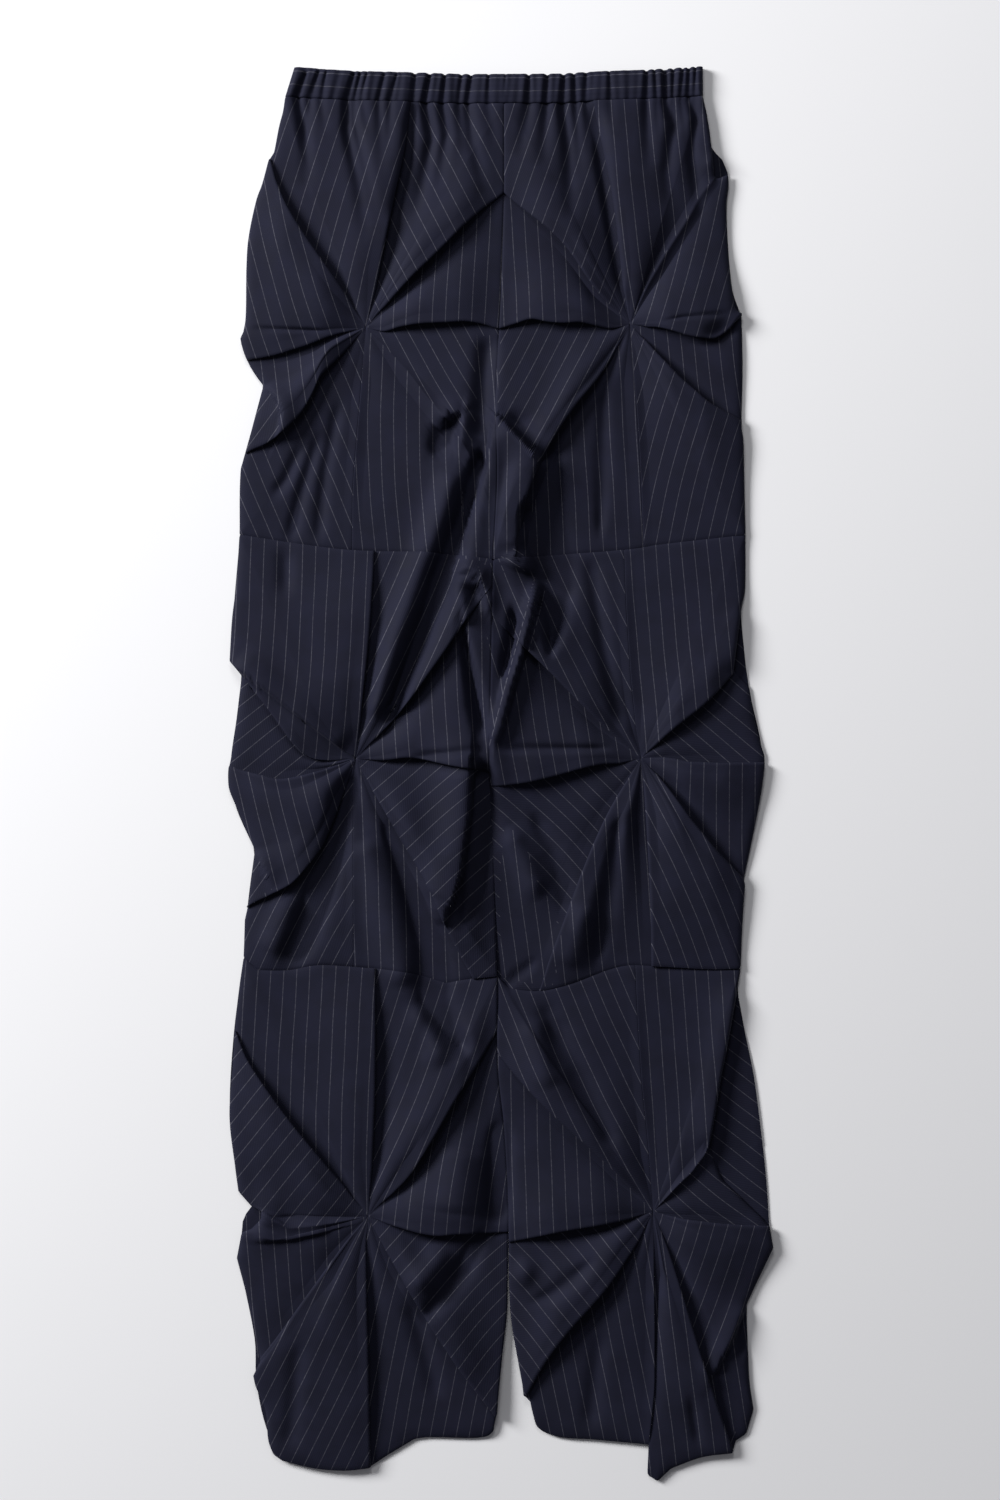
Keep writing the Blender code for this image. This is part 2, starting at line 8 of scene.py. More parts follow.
import bmesh
import bpy
import numpy as np
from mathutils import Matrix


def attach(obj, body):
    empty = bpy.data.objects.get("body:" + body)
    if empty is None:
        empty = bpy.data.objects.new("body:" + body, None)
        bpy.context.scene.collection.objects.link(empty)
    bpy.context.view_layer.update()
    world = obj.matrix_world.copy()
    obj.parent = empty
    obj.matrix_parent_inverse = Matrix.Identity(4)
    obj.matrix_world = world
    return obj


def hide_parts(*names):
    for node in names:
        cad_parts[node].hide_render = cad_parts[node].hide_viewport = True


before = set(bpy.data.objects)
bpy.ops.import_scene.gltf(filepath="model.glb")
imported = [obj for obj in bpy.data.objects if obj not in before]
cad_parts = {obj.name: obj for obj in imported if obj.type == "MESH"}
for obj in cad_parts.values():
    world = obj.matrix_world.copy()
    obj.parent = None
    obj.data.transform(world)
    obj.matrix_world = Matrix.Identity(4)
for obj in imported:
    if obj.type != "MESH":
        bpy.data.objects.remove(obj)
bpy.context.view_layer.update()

MM = 0.001

# The cloth's thickness, and the height of its middle above the table
CLOTH = 0.0008
BACK_RISE = 0.0005
BACK_GROOVE = 0.0002  # most that a back panel's lines and edges stand off or sink
FRONT_RISE = 0.0034
SIDE_RISE = 0.0013  # a front panel's open edge, on the back panel
LOWEST_FRONT = 0.0014
WAIST_LIFT = 0.0036  # added to the front where it meets the band
WAIST_SPAN = (0.400, 0.515)
HIGH_CLOTH = 0.0175  # cloth above this is held below this and HIGH_SPARE together
HIGH_SPARE = 0.0058
BELLY = 0.0014  # rise of the cloth halfway out, halfway between two tucks
UNEVEN = 0.0006  # most that cloth lying loose stands off or sinks
SEAM_DIP = 0.0004  # how far a seam sinks
SEAM_WIDTH = 0.0012
SEAM_FROM = 0.975  # share of the way out from which cloth sinks to the seams round its tier
EDGE_ROLL = 36  # power that keeps the fall to an open edge close to it

# Tucks, eight to a star
STAR = 8
LIP_HALF = 0.0065
LIP_HALF_REACH = 0.045  # distance from the centre where a tuck has its full width
LIP_RADIUS = 0.0012
LIP_SHARE = 0.42  # the lip's radius is at most this share of the lift
LIP_SPREAD = 0.032  # reach of the cloth that a tuck draws up beside it
TURN_REACH = 0.060  # distance from the centre where its cloth is turned under in full
FOLD_SPAN = (0.03, 0.16)  # shares of the way out: a crease up to the first, a fold from the second on
LIFT_FULL = 0.42  # share of the way out where the lift is first full
LIFT_HELD = 0.66  # share of the way out from which it goes over to the lift at the end
LOFT = 0.98  # share of the tables' lifts that is used
SLANT_REACH = 0.012  # distance round the rim over which its slant to a tuck is read
LEAST_SLANT = 0.50  # least sine of that slant that is used
CORNER = math.radians(19.0)  # a line that turns more than this keeps its corner
MEET = 0.00001  # points this close are merged

# The crotch, where the cloth bunches: its middle's distance left of the frame's, and where it fades out
CROTCH_ASIDE = 0.004
BUNCH_SIDES = (0.040, 0.052)
BUNCH_FOOT = (0.015, 0.030)
BUNCH_TOP = (0.290, 0.320)
BUNCH_FROM = 0.82  # share of the way out from which tucks are lost in the bunched cloth

# Stripes
STRIPE_SPACING = 0.0101
STRIPE_WANDER = 0.0007  # most that a stripe wanders from its line
STRIPE_SHIFT = 0.37  # share of the spacing by which each facet's stripes are set off from the last one's
CURL_LENGTH = 0.1  # length over which the tables give a lean's turn

# Mesh steps
RIM_STEP = 0.0030
WAIST_STEP = 0.0021
LEVELS = 60
BACK_STEP = 0.0080
BACK_LEVELS = 16
LEAST_COLUMNS = 6  # fewest columns between two tucks
FACET_WIDTH = 0.85  # a facet's width over the length of rim that it takes

# Creases
EDGE_FOOT = 0.0016  # width of an edge's steep side
CREASE_FADE = 0.018  # length in which soft creases and edges fade out at their ends
PLEAT_SPREAD = 2.2  # growth of a pleat's width by its end, in times its width at its start

# The band
BAND_WALL = 0.0012
BAND_RISE = 0.0068
BAND_HEIGHT = 0.0225
BAND_GAP = 0.0003
BAND_SWELL = 0.0016  # bulge of the front layer, less BAND_SINK
BAND_SINK = 0.0004
BAND_SCALLOP = 0.30  # share of a gather's depth by which it draws the top edge down
BAND_SLOPE = 0.0070  # how far the left end leans in at the top
BAND_DRAW = 0.65  # share of the pleats' depth that the band has
BAND_ROWS = 5  # faint dips that run along the band, one above another
BAND_ROW_DEPTH = 0.0002
BAND_PUFF = 0.0005  # uneven bulge of the gathers
BAND_LEAN = 0.0010  # uneven lean of the gathers
BAND_FRONT_COLUMNS = 540
BAND_BACK_COLUMNS = 70
BAND_END_COLUMNS = 9
BAND_STRIPE_DROP = 0.0031 - STRIPE_SPACING / 2  # puts a stripe 3.1 mm below the band's top

# Camera straight above, as the photograph was taken: height and middle of what it sees, lens and sensor in mm
FIELD_HEIGHT = 1.170
FIELD_X = -0.0004
FIELD_Y = 0.0189
LENS = 85.0
SENSOR = 36.0

# Soft lights: place, point aimed at, width and power in watts
LIGHTS = {
    "window": ((-3.0, 1.6, 1.6), (0.0, 0.0, 0.0), 1.5, 224.0),
    "overhead": ((-0.2, 1.9, 1.9), (0.0, 0.1, 0.0), 1.0, 14.0),
}
ROOM_LIGHT = 0.13
TABLE_SIZE = 6.0
TABLE_TOP = -0.0002

# The tables' origin lies this far from the frame's, in millimetres
SHIFT_X = 0.4
SHIFT_Y = -0.95

# Seams and edges: rows of x, y along each line, left to right or top to bottom
LINES = {
    "waist_left": [(-167.7, 528.5), (-125.6, 525.7), (-71.8, 524.2), (-32.0, 523.0), (2.3, 523.0)],
    "waist_right": [(2.3, 523.0), (46.0, 523.4), (73.3, 524.9), (116.2, 526.5), (156.8, 529.2)],
    "knee_left": [(-203.6, 187.6), (-158.3, 180.6), (-116.2, 175.5), (-55.4, 173.6), (-6.2, 168.1)],
    "knee_right": [(-6.2, 168.1), (45.2, 172.0), (92.0, 175.5), (123.2, 179.8), (190.3, 187.6)],
    "shin_left": [(-200.5, -142.3), (-188.8, -151.7), (-165.4, -151.7), (-143.5, -147.8), (-114.7, -149.0),
                  (-73.3, -153.3), (-42.9, -161.8), (-25.7, -158.7), (-3.1, -156.4)],
    "shin_right": [(-3.1, -156.4), (6.2, -165.8), (26.5, -168.1), (52.3, -162.6), (94.4, -148.6),
                   (120.1, -148.6), (164.6, -150.9), (186.4, -150.2)],
    "hem_left": [(-170.4, -533.9), (-145.1, -539.8), (-121.7, -541.3), (-103.0, -539.4), (-88.9, -530.0),
                 (-80.7, -525.1), (-67.3, -517.0), (-56.3, -515.7), (-22.2, -516.4), (-11.2, -515.2),
                 (-8.6, -513.6)],
    "hem_right": [(28.9, -508.2), (32.6, -511.3), (46.0, -515.7), (72.9, -517.5), (115.4, -521.4),
                  (114.4, -545.2), (122.1, -549.8), (132.6, -539.8), (157.2, -530.8), (180.2, -527.7)],
    "centre_1": [(2.3, 523.0), (2.3, 455.1), (0.0, 378.7), (-3.9, 292.9), (-3.1, 230.5), (-6.2, 168.1)],
    "centre_2": [(-6.2, 168.1), (-8.6, 43.3), (-8.6, -7.4), (-5.5, -81.5), (-3.1, -156.4)],
    "inner_left": [(-3.1, -156.4), (-2.3, -229.7), (2.3, -274.2), (5.5, -334.2), (5.1, -401.8), (4.6, -418.9),
                   (0.8, -452.8), (-2.7, -489.5), (-3.0, -497.0), (-5.1, -500.0), (-5.6, -510.3),
                   (-8.6, -513.6)],
    "inner_right": [(-3.1, -156.4), (-2.3, -229.7), (2.3, -274.2), (5.5, -334.2), (6.6, -401.8),
                    (8.3, -426.3), (11.9, -448.1), (15.5, -467.6), (17.2, -477.4), (17.4, -482.3),
                    (22.4, -485.9), (24.1, -494.1), (27.0, -505.4), (28.9, -508.2)],
    "outer_left_1": [(-167.7, 528.5), (-169.5, 517.0), (-172.4, 506.1), (-175.6, 489.5), (-177.0, 483.2),
                     (-180.5, 479.3), (-185.6, 460.6), (-190.3, 448.1), (-196.6, 418.5), (-198.2, 395.0),
                     (-198.6, 360.0), (-200.0, 346.7), (-202.8, 340.5), (-202.0, 335.8), (-197.7, 323.3),
                     (-191.9, 313.2), (-184.9, 303.8), (-198.9, 250.8), (-202.8, 238.3), (-203.6, 187.6)],
    "outer_left_2": [(-203.6, 187.6), (-206.0, 150.0), (-209.4, 121.3), (-211.0, 89.3), (-201.6, 77.6),
                     (-205.5, 45.2), (-210.6, 12.1), (-212.2, 4.3), (-211.8, -9.4), (-208.3, -19.1),
                     (-191.3, -58.1), (-196.6, -100.2), (-199.3, -104.9), (-200.0, -128.3), (-200.5, -142.3)],
    "outer_left_3": [(-200.5, -142.3), (-203.6, -163.4), (-206.7, -190.7), (-208.3, -221.9), (-211.4, -265.6),
                     (-206.7, -307.7), (-204.5, -324.1), (-194.2, -335.6), (-186.2, -338.5), (-186.4, -345.5),
                     (-194.5, -353.5), (-201.8, -356.0), (-205.7, -376.0), (-197.7, -407.2), (-187.0, -456.7),
                     (-192.8, -467.6), (-191.0, -475.4), (-183.3, -494.9), (-181.1, -518.3), (-177.2, -529.1),
                     (-170.4, -533.9)],
    "outer_right_1": [(156.8, 529.2), (160.5, 512.0), (163.8, 487.9), (165.6, 466.5), (168.5, 464.6),
                      (176.7, 467.8), (177.1, 460.6), (175.5, 445.0), (176.7, 406.0), (181.0, 367.0),
                      (182.1, 362.7), (187.2, 359.6), (188.0, 318.2), (187.2, 269.5), (188.4, 263.6),
                      (189.2, 235.0), (190.3, 187.6)],
    "outer_right_2": [(190.3, 187.6), (189.9, 144.7), (187.2, 131.0), (180.6, 81.5), (193.3, 68.6),
                      (198.1, 41.3), (202.4, 23.8), (205.1, 15.2), (205.1, 8.5), (202.8, -11.3),
                      (198.9, -32.8), (194.2, -56.2), (188.8, -82.0), (189.9, -84.6), (188.2, -109.3),
                      (186.4, -150.2)],
    "outer_right_3": [(186.4, -150.2), (183.9, -165.8), (175.8, -211.5), (171.6, -232.8), (165.2, -271.0),
                      (161.5, -289.3), (172.4, -315.5), (209.0, -350.5), (211.8, -367.8), (191.1, -412.2),
                      (192.0, -436.0), (193.4, -471.5), (196.6, -494.1), (191.0, -513.0), (182.1, -519.1),
                      (180.2, -527.7)],
    "back_left_1": [(-167.7, 528.5), (-172.4, 506.1), (-177.0, 483.2), (-190.3, 448.1), (-196.6, 418.5),
                    (-198.6, 360.0), (-202.0, 340.5), (-197.7, 323.3), (-184.9, 303.8), (-199.6, 250.8),
                    (-202.8, 238.3), (-203.6, 187.6)],
    "back_left_2": [(-203.6, 187.6), (-209.0, 121.3), (-210.0, 89.3), (-202.2, 77.6), (-206.1, 45.2),
                    (-211.0, 6.0), (-207.5, -22.0), (-191.9, -58.1), (-197.4, -100.2), (-200.5, -142.3)],
    "back_left_3": [(-200.5, -142.3), (-208.3, -200.8), (-211.4, -265.6), (-204.5, -324.1), (-194.2, -335.6),
                    (-201.2, -344.8), (-201.8, -353.0), (-203.6, -376.4), (-192.0, -440.0), (-190.7, -473.1),
                    (-182.5, -510.0), (-171.0, -530.0)],
    "back_right_1": [(156.8, 529.2), (160.5, 512.0), (163.8, 487.9), (171.6, 482.0), (176.7, 470.3),
                     (177.1, 460.6), (175.5, 445.0), (180.0, 380.0), (187.2, 355.0), (187.2, 274.2),
                     (190.3, 187.6)],
    "back_right_2": [(190.3, 187.6), (187.2, 131.0), (189.9, 94.0), (193.3, 68.6), (203.6, 10.0),
                     (189.5, -81.5), (186.4, -150.2)],
    "back_right_3": [(186.4, -150.2), (184.5, -165.8), (187.6, -186.0), (190.8, -203.0), (197.2, -235.0),
                     (202.5, -275.5), (206.7, -314.0), (209.0, -350.5), (209.0, -365.0), (190.0, -412.2),
                     (193.0, -471.5), (194.0, -494.1), (190.0, -511.0), (181.7, -518.0)],
    "back_hem_left": [(-171.0, -530.0), (-103.0, -533.0), (-60.0, -511.0), (-9.5, -510.0)],
    "back_hem_right": [(28.4, -506.0), (59.3, -513.0), (116.0, -517.0), (181.7, -518.0)],
}

# Tiers: star centre x, y and the four lines round the tier: top, right side, bottom, left side
TIERS = {
    "left_1": (-105.3, 349.1, "waist_left", "centre_1", "knee_left", "outer_left_1"),
    "right_1": (100.6, 351.4, "waist_right", "outer_right_1", "knee_right", "centre_1"),
    "left_2": (-113.1, 12.9, "knee_left", "centre_2", "shin_left", "outer_left_2"),
    "right_2": (109.2, 13.7, "knee_right", "outer_right_2", "shin_right", "centre_2"),
    "left_3": (-103.7, -343.6, "shin_left", "inner_left", "hem_left", "outer_left_3"),
    "right_3": (118.6, -339.7, "shin_right", "outer_right_3", "hem_right", "inner_right"),
}

# Tucks, clockwise from the waist: end x, y, distance from the straight line at each eighth of the way out,
# side on top (-1 the side before it clockwise, +1 the side after), lift at mid length, lift at the end, and
# depth turned under
TUCKS = {
    "left_1": [
        (-71.8, 524.2, (-0.6, -0.9, -1.2, -1.4, -1.8, -2.4, -1.7), -1, 8.5, 3.2, 5.0),
        (2.3, 455.1, (2.2, 3.3, 3.7, 3.4, 3.4, 3.6, 2.5), -1, 9.0, 2.0, 5.0),
        (-0.8, 349.1, (-2.5, 0.9, 3.1, 4.0, 4.6, 5.2, 3.4), -1, 8.0, 3.0, 4.5),
        (-3.1, 199.3, (4.0, 7.5, 8.8, 10.9, 11.9, 10.1, 5.4), -1, 2.6, 0.1, 0.0),
        (-116.2, 175.5, (-0.4, -0.8, -1.3, -1.7, -2.2, -2.1, -1.0), 1, 1.4, 0.4, 0.0),
        (-197.3, 253.1, (0.3, 0.5, 0.6, 6.5, 10.0, 9.7, 6.7), 1, 9.0, 3.0, 5.0),
        (-194.2, 326.4, (-0.8, -1.6, -0.6, 0.8, 1.4, 2.0, 1.4), 1, 4.5, 3.0, 3.0),
        (-180.2, 478.5, (1.3, 2.7, 4.4, 6.0, 7.1, 7.0, 4.5), -1, 8.0, 3.0, 5.0),
    ],
    "right_1": [
        (73.3, 524.9, (-0.4, -1.4, -2.3, -2.8, -2.7, -1.9, -1.0), 1, 8.5, 3.2, 5.0),
        (166.1, 464.5, (1.8, 3.3, 3.5, 3.4, 2.7, 2.3, 2.6), -1, 2.6, 1.6, 0.0),
        (187.2, 359.2, (-1.6, -3.3, -7.3, -12.0, -14.8, -15.6, -9.4), -1, 9.0, 4.6, 4.0),
        (187.2, 274.2, (-2.2, -4.3, -5.5, -6.6, -6.4, -6.1, -3.0), 1, 7.5, 3.0, 4.5),
        (111.0, 178.2, (0.2, 0.5, 1.1, 1.4, 1.2, 0.9, 0.4), 1, 1.4, 0.4, 0.0),
        (9.4, 169.7, (-2.4, -5.4, -11.2, -14.9, -15.5, -14.1, -7.5), 1, 10.5, 4.0, 5.5),
        (-0.8, 349.1, (2.2, -0.2, -3.1, -2.8, -3.9, -6.5, -3.3), 1, 8.0, 3.0, 4.5),
        (2.3, 455.1, (-0.4, -0.1, -2.2, -5.4, -6.4, -4.6, -2.3), 1, 8.5, 2.0, 5.0),
    ],
    "left_2": [
        (-99.8, 175.0, (-0.1, -0.2, -0.6, -1.1, -1.2, -1.0, -0.6), -1, 7.5, 2.6, 4.5),
        (-6.8, 148.6, (-1.3, -3.1, -3.7, -2.8, -1.8, -0.2, 0.8), -1, 9.5, 0.8, 5.0),
        (-8.6, 4.3, (1.1, 2.9, 5.6, 5.4, 3.5, 2.0, 1.1), -1, 7.5, 2.0, 4.5),
        (-20.3, -158.0, (1.2, 2.0, 2.4, 3.5, 3.3, 0.8, 0.0), -1, 10.5, 2.6, 5.5),
        (-114.7, -149.0, (-2.1, -1.8, -1.5, -1.2, -0.9, -0.6, -0.3), 1, 1.4, 0.4, 0.0),
        (-197.3, -100.2, (5.3, 10.6, 15.8, 19.4, 19.3, 17.1, 8.5), 1, 8.5, 3.2, 4.5),
        (-212.2, 5.9, (3.9, 7.4, 10.2, 12.4, 12.7, 8.9, 4.8), -1, 8.5, 3.4, 4.5),
        (-211.4, 87.8, (13.0, 21.5, 20.0, 15.5, 11.0, 7.0, 3.3), 1, 6.5, 3.0, 4.0),
    ],
    "right_2": [
        (95.9, 175.8, (2.0, 2.5, 3.0, 2.7, 2.4, 1.9, 1.0), -1, 1.4, 0.4, 0.0),
        (180.2, 81.5, (0.3, 0.6, 0.2, -0.9, -2.0, -2.1, -1.3), -1, 8.5, 3.2, 4.5),
        (205.1, 8.5, (-0.1, -0.5, -2.5, -2.4, -2.1, -1.4, -0.7), 1, 7.5, 3.2, 4.0),
        (189.5, -82.0, (-0.1, -0.2, -0.9, -1.9, -2.1, -2.2, -1.1), 1, 8.5, 3.2, 4.5),
        (118.6, -148.6, (1.7, 2.8, 2.7, 2.6, 2.3, 1.9, 1.2), -1, 5.0, 2.4, 3.0),
        (30.4, -167.3, (-3.0, -5.7, -6.4, -5.9, -4.5, -3.2, -1.6), -1, 9.0, 0.6, 5.0),
        (-8.6, -7.4, (0.5, -1.6, -1.4, 0.0, 1.2, 1.9, 1.3), 1, 8.0, 2.0, 4.5),
        (-7.0, 125.2, (0.5, 0.7, 0.8, 0.4, -0.4, -0.4, -0.2), 1, 9.0, 0.8, 4.5),
    ],
    "left_3": [
        (-99.1, -150.6, (-0.7, -1.4, -1.8, -2.1, -1.8, -1.2, -0.6), -1, 7.5, 2.6, 4.5),
        (-2.7, -197.0, (-3.6, -7.2, -6.8, -5.3, -3.4, -2.3, -1.3), -1, 10.0, 2.4, 5.5),
        (5.4, -354.5, (-2.6, -4.8, -6.9, -7.4, -4.9, -3.3, -1.6), -1, 8.0, 2.0, 4.5),
        (-3.4, -497.5, (-0.9, -1.8, -2.9, -3.6, -3.4, -3.1, -1.7), -1, 9.5, 3.4, 4.5),
        (-103.0, -539.4, (-2.4, -2.5, -2.1, -1.3, -0.9, -0.6, -0.3), 1, 6.5, 3.0, 4.0),
        (-187.2, -456.0, (-0.8, -1.0, -0.8, -0.6, -0.3, 0.1, 0.3), -1, 6.5, 3.0, 4.0),
        (-187.0, -341.0, (2.1, 4.2, 6.2, 7.7, 9.2, 9.8, 4.9), -1, 3.0, 1.8, 0.0),
        (-206.7, -200.8, (1.8, 3.5, 4.9, 6.2, 6.5, 6.3, 5.0), -1, 8.5, 3.2, 5.0),
    ],
    "right_3": [
        (104.5, -148.6, (0.1, 0.2, 0.8, 1.6, 1.5, 1.3, 0.7), -1, 1.4, 0.4, 0.0),
        (163.0, -287.4, (-0.3, -0.7, -1.0, -1.9, -2.9, -2.5, -2.1), -1, 4.6, 3.6, 0.0),
        (209.8, -352.9, (-2.2, -3.6, -3.5, -3.2, -2.8, -2.1, -1.0), 1, 6.5, 3.2, 4.0),
        (180.2, -527.7, (0.9, 0.9, 0.5, 0.0, -0.6, -0.6, -0.3), 1, 7.0, 3.2, 4.5),
        (115.4, -521.4, (0.7, 1.3, 2.0, 2.7, 3.0, 3.3, 1.7), 1, 3.0, 2.0, 0.0),
        (18.5, -482.5, (2.4, 2.7, 2.6, 0.7, -2.2, -3.4, -2.6), 1, 9.5, 3.4, 5.0),
        (5.5, -362.3, (0.6, 0.6, 0.3, -0.2, -0.7, -0.6, -0.3), 1, 8.0, 2.0, 4.5),
        (-1.2, -214.1, (-1.5, -1.8, -1.2, 0.7, 2.1, 2.4, 1.9), 1, 9.5, 2.4, 5.0),
    ],
}

# Stripes on the eight facets between the tucks, clockwise from the waist: lean in degrees, positive where the
# top leans right, and how much the lean turns over 100 mm along the stripe
STRIPES = {
    "left_1": [(-27, 0), (3, 0), (-27, 4), (4, 6), (-23, 0), (-8, 0), (-20, 8), (12, 5)],
    "right_1": [(-10, 4), (18, -6), (-4, 6), (20, 6), (-3, 0), (24, -6), (-3, 0), (22, -4)],
    "left_2": [(31, -6), (-4, 3), (48, 4), (-2, 0), (38, 8), (-13, 4), (52, 0), (6, -3)],
    "right_2": [(-5, 0), (-48, 5), (1, 4), (-30, -6), (-2, 2), (-45, -10), (-10, 3), (-31, 5)],
    "left_3": [(28, -6), (6, 8), (42, 16), (15, 3), (26, 0), (-3, 3), (39, 4), (0, 2)],
    "right_3": [(-4, 0), (-48, 12), (17, -4), (-7, 0), (-9, 2), (-40, -12), (-3, 3), (-31, 5)],
}

# Where folds carry stripes at a lean of their own: outline x, y and lean, on the front and on the back
ZONES = [
    ([(-185, 304), (-171, 287), (-172, 270), (-176, 262), (-200, 250)], 38),
    ([(-191, -58), (-177, -87), (-197, -101)], 35),
    ([(191, -412), (178.6, -442), (163, -470), (176, -513), (200, -513), (200, -412)], -9),
    ([(-19, 343), (-1, 343), (-3, 268), (-11, 236), (-27, 191), (-31, 215), (-24, 246), (-20, 283)], -4),
    ([(-3, 271), (9, 265), (23, 250), (31, 238), (27, 215), (15, 191), (11, 168), (-38, 168), (-30, 184),
      (-24, 209), (-15, 232), (-9, 254)], 0),
    ([(-18, 162), (-1, 167), (9, 137), (2, 90), (-5, 59), (-10, 105), (-12, 140)], -18),
    ([(-2, 168), (12, 179), (30, 155)], -58),
    ([(2, -36), (18, -50), (28, -82), (48, -116), (40, -166), (-1, -159), (-1, -89)], -7),
    ([(27, 154), (36, 154), (31, 129), (22, 98), (10, 63), (-3, 24), (-9, 24), (1, 63), (11, 98),
      (20, 129)], 15),
]
BACK_ZONES = [
    ([(185, -150), (215, -350), (150, -352), (150, -300), (160, -287), (171, -232)], -52),
    ([(188, 135), (200, 69), (210, 8), (180, 60), (178, 100)], -50),
]

